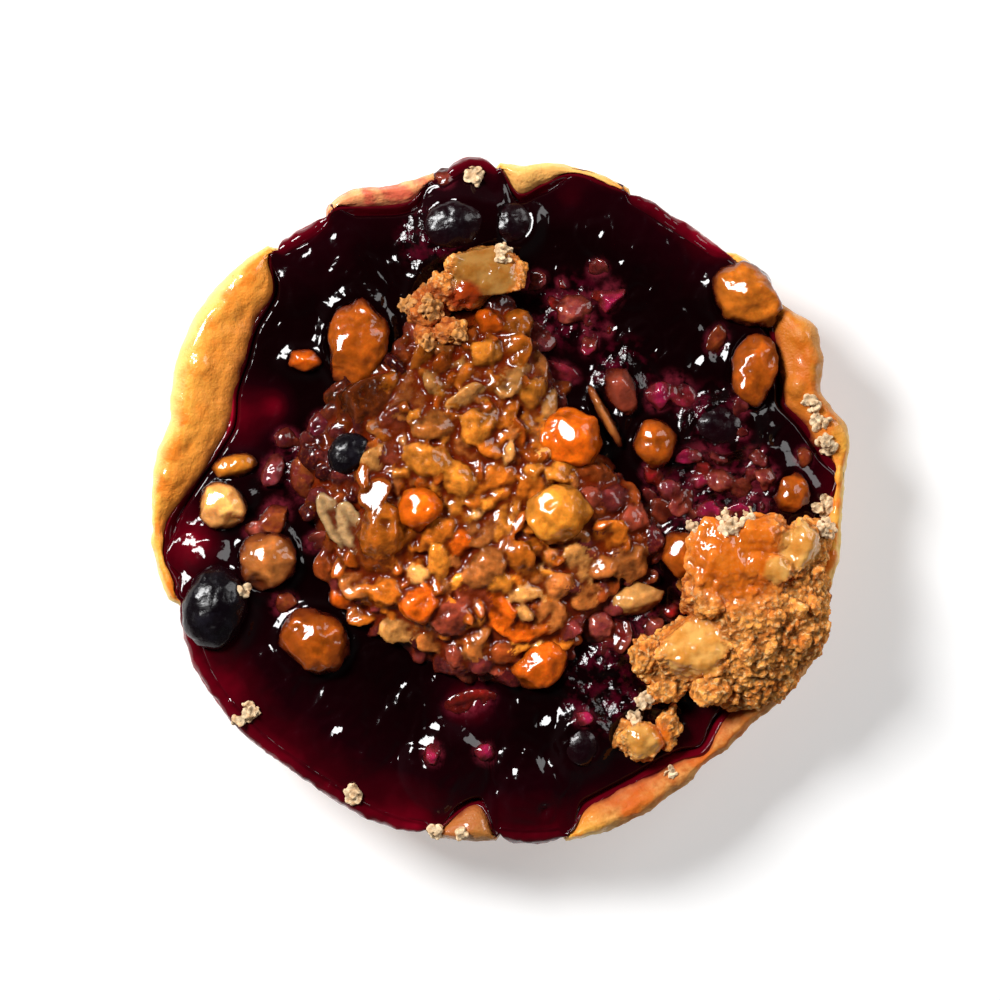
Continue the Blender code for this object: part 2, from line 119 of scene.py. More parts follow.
def wobble(points, size, seed=0.0, octaves=3):
    """Soft noise from -1 to 1 at points given in millimetres, with features of about a size."""
    shift = Vector((seed * 3.7, seed * 1.3, seed * 2.9))
    read = noise.fractal
    return np.array([read(Vector(p) / size + shift, 1.0, 2.0, octaves) for p in points.tolist()])


# Forms
def deselect():
    bpy.ops.object.select_all(action="DESELECT")


def points_of(piece):
    """A piece's points in millimetres."""
    flat = np.empty(len(piece.data.vertices) * 3)
    piece.data.vertices.foreach_get("co", flat)
    return flat.reshape(-1, 3) / MM


def put_points(piece, points):
    """Moves a piece's points to places in millimetres."""
    piece.data.vertices.foreach_set("co", np.ascontiguousarray(points * MM).ravel())
    piece.data.update()


def note(piece, name, values):
    """Keeps a number for each point, for the piece's material."""
    kept = piece.data.attributes.new(name, "FLOAT", "POINT")
    kept.data.foreach_set("value", np.asarray(values, np.float32))


def note_tints(piece, tints):
    """Keeps a colour for each point, for the piece's material, and how rough its skin is from 0 to 1."""
    for old in [kept for kept in piece.data.attributes if kept.name == "tint"]:
        piece.data.attributes.remove(old)
    kept = piece.data.attributes.new("tint", "FLOAT_COLOR", "POINT")
    kept.data.foreach_set("color", np.asarray(tints, np.float32).ravel())


def note_colour(piece, colour, rough=1.0):
    """Gives all of a piece one colour."""
    note_tints(piece, np.tile((*colour, rough), (len(piece.data.vertices), 1)))


def edit(piece, *steps):
    """Runs edit-mode steps on all of a piece's faces."""
    deselect()
    piece.select_set(True)
    bpy.context.view_layer.objects.active = piece
    bpy.ops.object.mode_set(mode="EDIT")
    bpy.ops.mesh.select_all(action="SELECT")
    for step, settings in steps:
        step(**settings)
    bpy.ops.object.mode_set(mode="OBJECT")


def applied(piece, kind, **settings):
    """Adds a modifier and applies it."""
    deselect()
    piece.select_set(True)
    bpy.context.view_layer.objects.active = piece
    modifier = piece.modifiers.new(kind.lower(), kind)
    for name, value in settings.items():
        setattr(modifier, name, value)
    bpy.ops.object.modifier_apply(modifier=modifier.name)


def rolled(name, rows, columns, place):
    """A grid rolled round the middle of the tart and closed along its seam and its two poles.
    place(angle, row) gives the points for arrays of angles and of row numbers."""
    deselect()
    bpy.ops.mesh.primitive_grid_add(x_subdivisions=columns, y_subdivisions=rows - 1, size=1)
    piece = bpy.context.object
    piece.name = name
    flat = points_of(piece) * MM
    angle = np.round((flat[:, 0] + 0.5) * columns) * 360 / columns
    row = np.round((flat[:, 1] + 0.5) * (rows - 1)).astype(int)
    points, notes = place(angle % 360, row)
    put_points(piece, points)
    for key, values in notes.items():
        note(piece, key, values)
    edit(
        piece,
        (bpy.ops.mesh.remove_doubles, {"threshold": 1e-6}),
        (bpy.ops.mesh.normals_make_consistent, {"inside": False}),
    )
    piece.data.shade_smooth()
    return piece


def joined(name, pieces):
    """Joins pieces into one."""
    deselect()
    for piece in pieces:
        piece.select_set(True)
    bpy.context.view_layer.objects.active = pieces[0]
    bpy.ops.object.join()
    pieces[0].name = name
    pieces[0].data.shade_smooth()
    return pieces[0]


# Baked shell
FLOOR = 4.0  # the thickness of its base
RIM_HEIGHT = 16.0  # where jam covers it
LEAN = 7.4  # how far its wall leans outwards
RIM_POINTS = 12  # the last numbered point along a section of the shell
OUTER, EDGE, INNER = 4, 8, 9  # points along it: the rim's outer edge, where jam meets it, the bowl's wall
SHELL_ROWS = 98
SHELL_COLUMNS = 560
# Rows of the mesh and the places along the section that they reach: dense over the rim, few below
SHELL_SPACING = ((0, 0), (4, 1), (30, 4), (84, 8.4), (92, 10.6), (SHELL_ROWS - 1, RIM_POINTS))
# Stretches of the rim with a look of their own, the left one with painted light on its inner slope:
# the angles where each starts, is full, ebbs and ends
ZONES = {
    "amber": (8, 14, 38, 46), "blond": (68, 72, 88, 92), "rosy": (98, 104, 122, 130),
    "left": (132, 142, 180, 190), "brown": (256, 260, 268, 271), "dry": (282, 292, 340, 352),
}
# Stretches of the rim with a form of their own: one sandy, with its angles as above, and one knobbly,
# with the angle at its middle and half its width
SANDY_RIM = (280, 290, 342, 352)
KNOBBLY_RIM = (350, 27)
# Blisters and knobs on the rim: x, y, radius, height
BLISTERS = [
    (42.3, 16.3, 2.0, 0.9), (-42.4, 19.4, 2.0, 0.35), (-45.4, 8.6, 1.8, 0.3),
    (-46.4, 13.8, 2.4, 0.3), (46.2, 9.4, 2.6, 0.6), (43.8, 24.0, 3.2, 0.45),
    (-38.6, 27.4, 2.4, 0.3), (-47.0, 3.4, 2.0, 0.35), (47.2, 4.0, 2.2, 0.5),
    (26.4, -39.6, 2.6, 0.4), (20.6, -43.6, 2.4, 0.35), (31.6, -35.4, 2.2, 0.4),
    (13.8, -46.2, 2.2, 0.35), (44.8, 20.4, 2.0, 0.4), (-49.0, -6.0, 1.8, 0.3),
]


def run_over(angle):
    """1 where jam has run over the rim, 0 where the rim is bare."""
    return ease(0.5 - around(BARE_RIM, angle) / 1.2)


def shell_points(angle):
    """The numbered points along the shell's section at each angle, as radii and heights."""
    bare = around(BARE_RIM, angle)
    radius = around(OUTLINE, angle) - run_over(angle)
    width = np.clip(bare, 1.2, 9)
    crest = radius - np.clip(0.36 * width, 1.0, 3.2)
    height = RIM_HEIGHT + 0.36 * np.clip(bare, 0, 9)
    edge = radius - width
    inner = np.minimum(radius - 8, edge - 1.4)
    rise = height - 1.8
    flare = [radius - LEAN * (1 - np.clip(part * height / rise, 0, 1)) ** 1.35 for part in (0.12, 0.55)]
    meeting = JAM_LEVEL - 0.3
    same = np.ones_like(radius)
    wall = [
        (0 * same, 0 * same), (radius - LEAN, 0 * same),
        (flare[0], 0.12 * height), (flare[1], 0.55 * height),
    ]
    rim = [
        (radius, rise), (mixed(radius, crest, 0.45), height - 0.3), (crest, height),
        (mixed(crest, edge, 0.55), mixed(height, meeting, 0.4)), (edge, meeting * same),
    ]
    bowl = [
        (inner, 9.5 * same), (inner - 2.2, 5.6 * same),
        (inner - 5.5, FLOOR * same), (0 * same, FLOOR * same),
    ]
    return np.array(wall + rim + bowl)


def capped(slope, reach):
    """Slopes no longer than their stretch of the curve, so that the curve doesn't loop."""
    length = np.linalg.norm(slope, axis=1) + 1e-9
    return slope * np.minimum(1, reach / length)[:, None]


def along(rings, place):
    """A point on the smooth curve through numbered points, for each column, at a place such as 4.5."""
    last = len(rings) - 1
    i = np.clip(np.floor(place).astype(int), 0, last - 1)
    t = place - i
    columns = np.arange(rings.shape[2])
    before, here, there, after = (rings[np.clip(i + k, 0, last), :, columns] for k in (-1, 0, 1, 2))
    t = t[:, None]
    reach = np.linalg.norm(there - here, axis=1)
    return (
        here * (2 * t**3 - 3 * t**2 + 1)
        + capped(0.5 * (there - before), reach) * (t**3 - 2 * t**2 + t)
        + there * (3 * t**2 - 2 * t**3)
        + capped(0.5 * (after - here), reach) * (t**3 - t**2)
    )


def with_normal(rings, place):
    """The curve's point and its outward direction, at a place along it for each column."""
    point = along(rings, place)
    ahead, behind = np.minimum(place + 0.04, RIM_POINTS), np.maximum(place - 0.04, 0)
    slope = along(rings, ahead) - along(rings, behind)
    slope /= np.linalg.norm(slope, axis=1)[:, None] + 1e-9
    return point, np.stack([slope[:, 1], -slope[:, 0]], axis=1)


def round_to_xyz(angle, radius, height):
    """Points given by angle, radius and height as x, y and z."""
    turn = np.radians(angle)
    return np.stack([radius * np.cos(turn), radius * np.sin(turn), height], axis=1)


def reach_table():
    """Where the jam ends along the shell's section, every half degree, evened out over a few degrees."""
    angle = np.arange(0, 360, 0.5)
    line = round_to_xyz(angle, 48 + 0 * angle, 0 * angle)
    ragged = 0.35 * wobble(line, 4.0, 10, 2) + 0.2 * wobble(line, 1.5, 14, 1)
    bare = around(BARE_RIM, angle) + ragged
    end = np.interp(bare, [-2.6, -1.4, -0.5, 0.3, 1.0, 2.2], [2.5, 3.3, 4.1, 5.2, 7.0, 8.0])
    for _ in range(3):
        end = sum(np.roll(end, shift) for shift in range(-3, 4)) / 7
    return angle, end


REACH = reach_table()


def between(angle, start, full, ebb, end):
    """1 from one angle to another, fading to 0 on both sides."""
    return ease((angle - start) / (full - start)) * ease((end - angle) / (end - ebb))


def shell_place(angle, row):
    """The shell's points: rough and blistered where it shows, sunk a little under the jam's runs."""
    place = np.interp(np.arange(SHELL_ROWS), *zip(*SHELL_SPACING))[row]
    rings = shell_points(angle)
    point, out = with_normal(rings, place)
    flat = round_to_xyz(angle, point[:, 0], point[:, 1])
    shows = ease(place / 1.2) * ease((9.5 - place) / 1.0) * ease(point[:, 1] / 1.5)
    middle, half = KNOBBLY_RIM
    knobbly = ease((half - np.abs(angle - middle + 360 * (angle < 180))) / 8)
    swell = 0.42 * wobble(flat, 8.0, 1) + 0.20 * wobble(flat, 2.6, 2) + 0.07 * wobble(flat, 0.9, 3)
    swell += knobbly * (0.35 * wobble(flat, 3.0, 4) + 0.12 * np.abs(wobble(flat, 1.1, 5)))
    swell += between(angle, *SANDY_RIM) * 0.3 * (np.abs(wobble(flat, 1.3, 18, 2)) - 0.3)
    for bx, by, reach, height in BLISTERS:
        swell += height * ease(1.4 - 1.4 * np.hypot(flat[:, 0] - bx, flat[:, 1] - by) / reach)
    swell = np.clip(swell, -0.6, 0.9) * shows
    end = np.interp(angle, *REACH, period=360)
    under = ease((place - end + 0.7) / 0.4) * ease((11 - place) / 1.0)
    swell = mixed(swell, np.minimum(swell, -0.42), under * ease((8.2 - end) / 0.8))
    point = point + out * swell[:, None]
    points = round_to_xyz(angle, point[:, 0], point[:, 1])
    points[:, 2] = np.maximum(points[:, 2], 0)
    inward = np.clip((place - OUTER) / (EDGE - OUTER), -1, 1.2)
    zones = {name: between(angle, *ends) for name, ends in ZONES.items()}
    return points, {"inward": inward, **zones}


shell = rolled("baked_shell", SHELL_ROWS, SHELL_COLUMNS, shell_place)

# Berry jam
# The middle and the half size of each topping, from its node
TOPPINGS = {}
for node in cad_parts:
    if node not in ("crust", "jam", "crumble_heap"):
        low, high = (np.array(corner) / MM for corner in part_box(node))
        TOPPINGS[node] = ((low + high) / 2, (high - low) / 2)

# Fruit that swells the jam from below: x, y, radius, height
FRUIT = [
    (-8.0, -38.4, 6.6, 2.0), (-22.0, -33.0, 7.5, 1.0), (4.5, -42.0, 4.6, 1.4),
    (-6.0, 40.0, 6.4, 1.2), (-22.0, 31.0, 6.0, 0.9), (20.0, 34.0, 7.0, 0.9), (26.0, 21.0, 5.0, 0.8),
    (31.0, 10.0, 5.0, 1.0), (12.0, -33.0, 5.0, 1.0), (38.0, 6.0, 4.0, 0.9),
    (-13.0, -31.0, 4.5, 0.9), (-1.0, -31.5, 4.0, 0.7), (4.0, -32.0, 4.6, 0.8),
    (-30.5, -27.5, 4.2, 0.8), (30.0, 30.5, 4.0, 0.6), (14.5, 38.5, 4.0, 0.6),
    (-29.5, 29.5, 3.6, 0.8), (-12.0, 34.0, 4.5, 0.6), (2.5, -38.5, 4.0, 0.9),
    (20.0, 22.5, 3.6, 0.7), (-37.0, 1.5, 3.0, 0.5), (-42.5, -6.5, 4.0, 1.0),
    (15.5, -24.0, 4.0, 0.9), (18.0, -29.0, 3.6, 0.8), (11.0, -27.5, 3.4, 0.8),
    (-17.0, -24.0, 4.0, 0.5), (-8.0, -25.5, 3.6, 0.6), (36.0, 9.0, 4.0, 1.0),
    (-27.0, 34.6, 3.0, 0.8), (-21.5, 37.4, 3.2, 0.6), (-31.0, 31.0, 2.6, 0.6),
    (38.5, 11.0, 3.0, 0.8), (-34.0, -24.6, 3.8, 0.7), (-29.0, -23.4, 3.0, 0.6),
    (24.0, 27.0, 3.4, 0.6), (29.5, 18.0, 3.0, 0.7), (21.8, 39.8, 2.4, 0.5), (2.0, -43.5, 3.0, 0.8),
    (8.8, -40.0, 3.0, 0.8), (-19.5, -35.8, 3.0, 0.7),
]
# Stained bits in the jam: kind, x, y, length, width, turn, colour
JAM_BITS = [
    ("kernel", -27.8, 2.7, 8.0, 4.8, -80, "brown"), ("pebble", -25.3, 10.6, 5.0, 4.4, 60, "wine"),
    ("oat", -23.1, 7.2, 5.6, 3.4, 80, "wine"), ("pebble", -32.6, 4.4, 5.2, 3.4, 70, "mauve"),
    ("pebble", -30.7, 8.9, 3.6, 3.0, 0, "wine"), ("chip", -32.1, -1.9, 5.2, 4.4, 60, "brown"),
    ("chip", -31.0, -14.8, 3.8, 3.6, 0, "brown"), ("oat", -26.2, -5.9, 4.4, 2.8, 20, "pink"),
    ("oat", 4.8, 31.4, 4.0, 3.0, 20, "mauve"), ("pebble", 10.0, 27.3, 4.8, 4.4, 0, "pink"),
    ("chip", 15.9, 29.3, 4.8, 3.4, 70, "magenta"), ("oat", 12.9, 22.7, 4.2, 2.4, 70, "magenta"),
    ("chip", 5.9, 23.1, 4.6, 3.8, 20, "mauve"), ("oat", 8.6, 18.3, 6.4, 2.8, -20, "magenta"),
    ("chip", 22.6, 14.6, 4.6, 3.8, 20, "magenta"), ("oat", 25.6, 15.8, 6.6, 4.0, -50, "magenta"),
    ("oat", 27.7, 6.5, 5.8, 2.4, 15, "magenta"), ("pebble", 31.8, 3.0, 4.8, 3.8, 10, "pink"),
    ("oat", 35.3, 1.3, 5.0, 3.8, 160, "pink"), ("chip", 43.6, 6.2, 3.2, 2.6, 60, "brown"),
    ("oat", 26.1, -0.3, 4.8, 3.2, 60, "pink"), ("pebble", 28.4, 2.8, 3.0, 2.6, 0, "magenta"),
    ("pebble", 10.5, -15.4, 3.8, 3.4, 0, "pink"), ("pebble", 13.8, -18.2, 5.6, 5.0, 40, "pink"),
    ("oat", 17.4, -19.4, 5.4, 3.4, 80, "pink"), ("pebble", 21.4, -18.2, 4.2, 3.4, 30, "pink"),
    ("oat", 27.0, -12.4, 3.8, 2.4, -20, "golden"), ("chip", 14.0, 33.0, 3.0, 2.6, 10, "mauve"),
    ("oat", -4.4, -29.0, 8.4, 3.6, 12, "red"), ("pebble", -9.6, -36.2, 3.6, 2.8, 80, "magenta"),
    ("pebble", -2.3, -36.3, 3.0, 2.8, 0, "magenta"),
    ("pebble", 12.0, -31.2, 2.6, 2.4, 0, "magenta"), ("oat", 34.4, 13.4, 3.6, 2.4, 80, "mauve"),
    ("chip", 31.0, 23.0, 4.4, 3.0, 60, "brown"), ("pebble", 38.2, 3.6, 3.6, 3.0, 0, "pink"),
    ("pebble", 24.2, 1.6, 3.4, 3.0, 0, "mauve"), ("oat", 33.8, -2.0, 4.2, 3.0, 30, "magenta"),
    ("pebble", 29.8, -1.6, 3.8, 3.0, 0, "magenta"), ("oat", 20.8, -11.0, 4.0, 2.6, 10, "brown"),
    ("pebble", 24.6, -15.8, 2.6, 2.4, 0, "red"), ("pebble", -8.0, 46.2, 3.2, 3.0, 0, "pink"),
    ("pebble", -35.0, -4.4, 3.4, 3.0, 0, "pink"),
]
# Places where small stained bits are strewn: x, y, radius, how many
STREWN = [(30.0, 1.5, 9.5, 30), (16.5, -18.0, 7.0, 16), (10.0, 26.0, 6.5, 10), (-28.0, 5.0, 6.0, 3)]
# Places where pulp and stained oats roughen the jam: x, y, radius
PULP = [
    (31.0, 1.5, 11.0), (15.0, -27.0, 8.0), (10.0, 27.0, 7.0), (17.5, 18.5, 6.0), (-28.0, 5.0, 6.0),
    (-10.0, 37.5, 6.0), (17.5, -17.0, 6.0), (30.0, 12.0, 6.0),
]


def near_spot(strew, x, y, reach):
    """A place drawn at random within reach of a spot."""
    a, out = strew.uniform(0, 2 * math.pi), reach * math.sqrt(strew.random())
    return x + out * math.cos(a), y + out * math.sin(a)


def pulp_bits():
    """Small stained bits strewn over the pulpy places."""
    strew = random.Random(17)
    bits = []
    for spot_x, spot_y, reach, count in STREWN:
        for _ in range(count):
            x, y = near_spot(strew, spot_x, spot_y, reach)
            length = strew.uniform(1.6, 3.4)
            kind = strew.choice(("chip", "flake", "oat", "chip"))
            width, turn = length * strew.uniform(0.6, 0.9), strew.uniform(0, 180)
            tint = strew.choice(("pink", "mauve", "magenta", "red", "mauve"))
            bits.append((kind, x, y, length, width, turn, tint))
    return bits


JAM_BITS += pulp_bits()
# Places where light shows red through thin jam: x, y, radius, how strongly
THIN = [
    (-43.6, -5.6, 5.0, 0.8), (-32.2, 13.6, 3.4, 0.75), (-4.5, -29.0, 6.0, 0.8),
    (-38.5, -26.0, 5.0, 0.3), (-34.0, -38.0, 7.0, 0.2), (-14.0, -45.0, 7.0, 0.3),
    (30.5, 38.5, 5.0, 0.5), (26.0, -36.5, 6.0, 0.3), (33.0, -31.0, 5.0, 0.45),
    (9.5, 43.0, 4.0, 0.3), (33.0, 41.0, 3.5, 0.5), (-37.0, 12.0, 8.0, 0.72), (12.5, 22.0, 4.0, 0.5),
    (24.0, 17.0, 3.5, 0.45), (-25.0, 0.0, 5.0, 0.5),
]
# Small tilted faces that mirror the light: x, y, length, width, turn
SHINES = [
    (-27.9, 35.7, 3.4, 2.8, 0), (-24.2, 38.4, 2.0, 1.3, 10), (-21.6, 38.8, 2.2, 1.2, 0),
    (-19.4, 41.2, 1.8, 1.0, 5), (-23.0, 41.0, 1.8, 1.0, 5), (-32.0, 31.0, 2.0, 1.6, 90),
    (-32.2, 28.2, 1.8, 1.4, 90), (-31.6, 25.2, 1.8, 1.3, 80), (37.1, 6.4, 5.6, 1.8, 45),
    (40.4, 9.6, 4.4, 1.6, 45), (31.1, 11.3, 3.4, 2.4, 10), (34.0, 12.4, 2.4, 1.6, 20),
    (28.7, 20.0, 3.0, 2.0, 30), (20.9, 40.5, 2.0, 3.0, 0), (25.4, 15.0, 1.8, 1.4, 0),
    (16.4, 24.6, 2.0, 1.4, 20), (-44.7, -5.2, 2.6, 2.6, 60), (-43.0, -2.6, 1.8, 1.4, 30),
    (-42.1, 2.1, 2.6, 1.4, 20), (-32.0, -26.9, 3.4, 1.0, 35), (-29.6, -25.0, 2.4, 0.9, 40),
    (-23.3, -32.9, 2.2, 2.6, 60), (-9.4, -32.3, 3.0, 1.8, 10), (-26.3, -39.9, 3.0, 1.2, 30),
    (-13.7, -26.3, 2.0, 1.2, 20), (6.4, -31.7, 2.8, 2.4, 30), (9.4, -34.6, 2.0, 1.6, 0),
    (2.1, -39.0, 1.8, 2.8, 0), (6.7, -45.0, 2.2, 2.6, 0), (3.4, -36.0, 1.6, 1.4, 0),
    (9.0, 45.8, 4.0, 1.0, 25), (13.0, 47.0, 2.4, 0.9, 10), (24.8, 37.2, 1.6, 1.4, 0),
    (28.4, 33.6, 1.6, 1.2, 0), (33.4, 28.6, 2.0, 1.4, 30), (15.8, -23.6, 1.8, 1.4, 0),
    (-4.0, 38.6, 2.4, 1.6, 0), (-1.6, 35.9, 2.4, 1.2, 20), (-30.6, 20.4, 1.6, 1.0, 90),
    (21.6, 30.4, 1.8, 1.2, 30),
]


def mirror_at(x, y):
    """The slope across and up that mirrors the light from the left to the camera at a place."""
    return 0.318 + 0.0015 * x, 0.0016 * y - 0.232


def glints():
    """Tiny tilted faces strewn along the jam's edge and over its pulpy places."""
    strew = random.Random(23)
    spots = []
    for _ in range(70):
        a, out = strew.uniform(0, 2 * math.pi), strew.uniform(36, 47)
        spots.append((out * math.cos(a), out * math.sin(a)))
    for x, y, reach in PULP * 5:
        spots.append(near_spot(strew, x, y, reach))
    return [
        (x, y, strew.uniform(0.9, 1.6), strew.uniform(0.8, 1.2), strew.uniform(0, 90)) for x, y in spots
    ]


SHINES += glints()


def over_spot(points, cx, cy, length, width, turn):
    """How far points lie from the middle of an oval spot: 0 in the middle, 1 at its edge."""
    c, s = math.cos(math.radians(turn)), math.sin(math.radians(turn))
    dx, dy = points[:, 0] - cx, points[:, 1] - cy
    return np.hypot((dx * c + dy * s) / (0.5 * length), (dy * c - dx * s) / (0.5 * width))


def heap_share(x, y):
    """How far out a place lies on the heap: 0 in the middle, 1 at its edge."""
    dx, dy = x - HEAP_CENTRE[0], y - HEAP_CENTRE[1]
    return np.hypot(dx, dy) / around(HEAP_REACH, np.degrees(np.arctan2(dy, dx)))


def jam_relief(points):
    """How far the jam rises above its level at each point, and how pulpy it is there."""
    x, y = points[:, 0], points[:, 1]
    rise = 0.30 * wobble(points, 9.0, 6, 2) + 0.2 * wobble(points, 3.2, 7, 2)
    for cx, cy, reach, height in FRUIT:
        away = ((x - cx) ** 2 + (y - cy) ** 2) / (reach * reach)
        near = np.flatnonzero(away < 1)
        if len(near):
            swollen = np.sqrt(1 - away[near]) ** 1.2
            folds = np.abs(wobble(points[near], 2.6, cx, 2)) * 0.55
            rise[near] = np.maximum(rise[near], rise[near] * 0.4 + (height - folds) * swollen)
    pulp = np.zeros_like(x)
    for cx, cy, reach in PULP:
        pulp = np.maximum(pulp, ease(1.6 - 1.6 * np.hypot(x - cx, y - cy) / reach))
    rise += pulp * (0.42 * wobble(points, 2.2, 8, 2) + 0.2 * wobble(points, 0.9, 9, 2))
    lumpy = 0.22 * wobble(points, 2.0, 16, 2) + 0.1 * wobble(points, 0.8, 17, 1)
    rise += ease((np.hypot(x, y) - 42) / 4) * lumpy
    for node, (centre, half) in TOPPINGS.items():
        berry = node.startswith("berry")
        away = np.hypot((x - centre[0]) / half[0], (y - centre[1]) / half[1])
        beyond = (away - 1) * min(half[0], half[1]) - 0.1
        rise += (1.3 if berry else 0.6) * np.exp(-((beyond / (1.5 if berry else 0.9)) ** 2))
    for cx, cy, length, width, turn in SHINES:
        near = np.flatnonzero(np.abs(x - cx) + np.abs(y - cy) < 1.5 * length)
        if len(near):
            share = ease(2.2 - 1.7 * over_spot(points[near], cx, cy, length, width, turn))
            level = np.sum(rise[near] * share) / (np.sum(share) + 1e-9)
            across, up = mirror_at(cx, cy)
            flat = level + across * (x[near] - cx) + up * (y[near] - cy)
            rise[near] = mixed(rise[near], flat, share)
    return rise, pulp


def halo_of(points):
    """How much the jam shows of each stained bit that lies in it: 1 over the bit, fading round it."""
    shown = np.zeros(len(points))
    for _, bx, by, length, width, turn, _ in JAM_BITS:
        away = over_spot(points, bx, by, length + 1.4, width + 1.4, turn)
        shown = np.maximum(shown, ease(1.7 - 1.7 * away))
    return shown


JAM_ROWS = 128
JAM_COLUMNS = 640
LAID, BEAD, RUNS = 78, 86, 122  # the last row of the open top, of its rounded edge, of the runs outside


def jam_underside(rings, end):
    """Points from the end of each run down within the pastry to the middle, for each column."""
    inner = rings[INNER, 0]
    last, last_out = with_normal(rings, end)
    below = ((inner + 2.6, 9.0), (inner - 2.0, 3.0), (0.5 * inner, 2.2), (0 * inner, 2.0))
    return np.stack([last - 0.9 * last_out, *(np.stack([r, z + 0 * inner], axis=1) for r, z in below)])


def jam_depth(spot, margin, on_rim, over, place):
    """How deep the jam looks: less near the rim and in its runs, and little where light shows red."""
    deep = np.interp(margin, [0.6, 2.5, 6.0, 12.0, 18.0], [2.4, 3.6, 5.2, 8.0, 9.5])
    deep = deep + 2.2 * ease((spot[:, 1] + 2) / 20)
    runs = mixed(2.2, np.interp(place, [2.5, 4.2, 5.0, 6.3], [0.3, 0.7, 1.9, 3.4]), over)
    depth = np.where(on_rim, runs, deep)
    for x, y, reach, strength in THIN:
        away = np.hypot(spot[:, 0] - x, spot[:, 1] - y)
        depth = depth * (1 - strength * np.exp(-((away / reach) ** 2) * 1.6))
    return depth


def jam_place(angle, row):
    """The jam's top, its rounded edge, its runs over the rim, and an underside within the pastry."""
    rings = shell_points(angle)
    end = np.interp(angle, *REACH, period=360)
    over = ease((8.0 - end) / 2.6)
    first = mixed(8.25, 6.3, over)
    outward = np.clip((row - BEAD) / (RUNS - BEAD), 0, 1)
    place = mixed(first, end, outward)
    point, out = with_normal(rings, place)
    taper = np.sqrt(np.clip(1 - outward**4, 0, 1))
    film = mixed(0.2, mixed(0.45, 1.05, ease((5.9 - place) / 1.2)), over)
    skin = round_to_xyz(angle, point[:, 0], point[:, 1])
    uneven = 0.3 * wobble(skin, 2.4, 11, 2) + 0.16 * wobble(skin, 0.9, 15, 2)
    film = np.minimum((film + over * uneven) * taper, 1.3)
    on_shell = point + out * film[:, None]
    start, start_out = with_normal(rings, first)
    start = start + start_out * mixed(0.25, 0.45, over)[:, None]
    lip_r = start[:, 0] - mixed(0.7, 0.6, over)
    lip_z = mixed(JAM_LEVEL - 0.05, start[:, 1] + 0.02, over)
    spread = np.interp(np.arange(JAM_ROWS), [0, 5, LAID, JAM_ROWS], [0, 0.26, 1, 1])[row]
    r = spread * lip_r
    top = round_to_xyz(angle, r, 0 * r)
    rise, pulp = jam_relief(top)
    at_edge = ease((spread - 0.9) / 0.1)
    z = JAM_LEVEL + rise * (1 - 0.45 * at_edge) + (lip_z - JAM_LEVEL) * mixed(spread**9, 1, at_edge)
    z = np.minimum(z, JAM_LEVEL + 2.0)
    turn = np.clip((row - LAID) / (BEAD - LAID), 0, 1) * np.pi / 2
    bead_r = lip_r + (start[:, 0] - lip_r) * np.sin(turn)
    brim = JAM_LEVEL + rise * 0.55 + (lip_z - JAM_LEVEL)
    bead_z = start[:, 1] + (brim - start[:, 1]) * np.cos(turn)
    hidden = jam_underside(rings, end)
    unseen = hidden[np.clip(row - RUNS - 1, 0, len(hidden) - 1), np.arange(len(row))]
    parts = [row <= LAID, row <= BEAD, row <= RUNS]
    radius = np.select(parts, [r, bead_r, on_shell[:, 0]], unseen[:, 0])
    height = np.select(parts, [z, bead_z, on_shell[:, 1]], unseen[:, 1])
    spot = round_to_xyz(angle, radius, 0 * radius)
    depth = jam_depth(spot, rings[OUTER, 0] - radius, row > BEAD, over, place)
    notes = {"depth": depth, "pulp": pulp * (row <= LAID), "halo": halo_of(spot) * (row <= LAID)}
    return round_to_xyz(angle, radius, height), notes


jam = rolled("berry_jam", JAM_ROWS, JAM_COLUMNS, jam_place)


# Heap
def jam_top(x, y):
    """The height of the jam at a place."""
    rise, _ = jam_relief(np.array([[x, y, 0.0]]))
    return JAM_LEVEL + float(rise[0])


def heap_top(x, y):
    """The height of the heap's dome at a place."""
    share = heap_share(np.asarray(x, float), np.asarray(y, float))
    dome = np.interp(share, [0, 0.2, 0.48, 0.74, 0.93, 1.0, 1.08], [1, 1, 0.94, 0.76, 0.42, 0.1, -0.3])
    return JAM_LEVEL + HEAP_HEIGHT * dome


HEAP_ROWS = 68
HEAP_COLUMNS = 220
DOME = 60  # the last row of the heap's top


def heap_place(angle, row):
    """The syrupy ground of the heap: a bumpy dome on a flat underside within the jam."""
    share = np.interp(np.arange(HEAP_ROWS), [0, DOME, DOME + 6, HEAP_ROWS - 1], [0, 1.08, 1.0, 0])[row]
    reach = around(HEAP_REACH, angle) * share
    turn = np.radians(angle)
    x, y = HEAP_CENTRE[0] + reach * np.cos(turn), HEAP_CENTRE[1] + reach * np.sin(turn)
    flat = np.stack([x, y, 0 * x], axis=1)
    bumps = 0.55 * wobble(flat, 4.5, 12, 2) + 0.3 * wobble(flat, 1.8, 13, 2)
    top = heap_top(x, y) + 0.3 * ease((1 - share) / 0.2) + bumps
    height = np.where(row <= DOME, top, JAM_LEVEL - 2.5)
    return np.stack([x, y, height], axis=1), {}


syrup = rolled("heap_syrup", HEAP_ROWS, HEAP_COLUMNS, heap_place)


def srgb(red, green, blue):
    """A screen colour as the linear numbers that a material takes."""
    shares = (red / 255, green / 255, blue / 255)
    return tuple(((c + 0.055) / 1.055) ** 2.4 if c > 0.04 else c / 12.92 for c in shares)


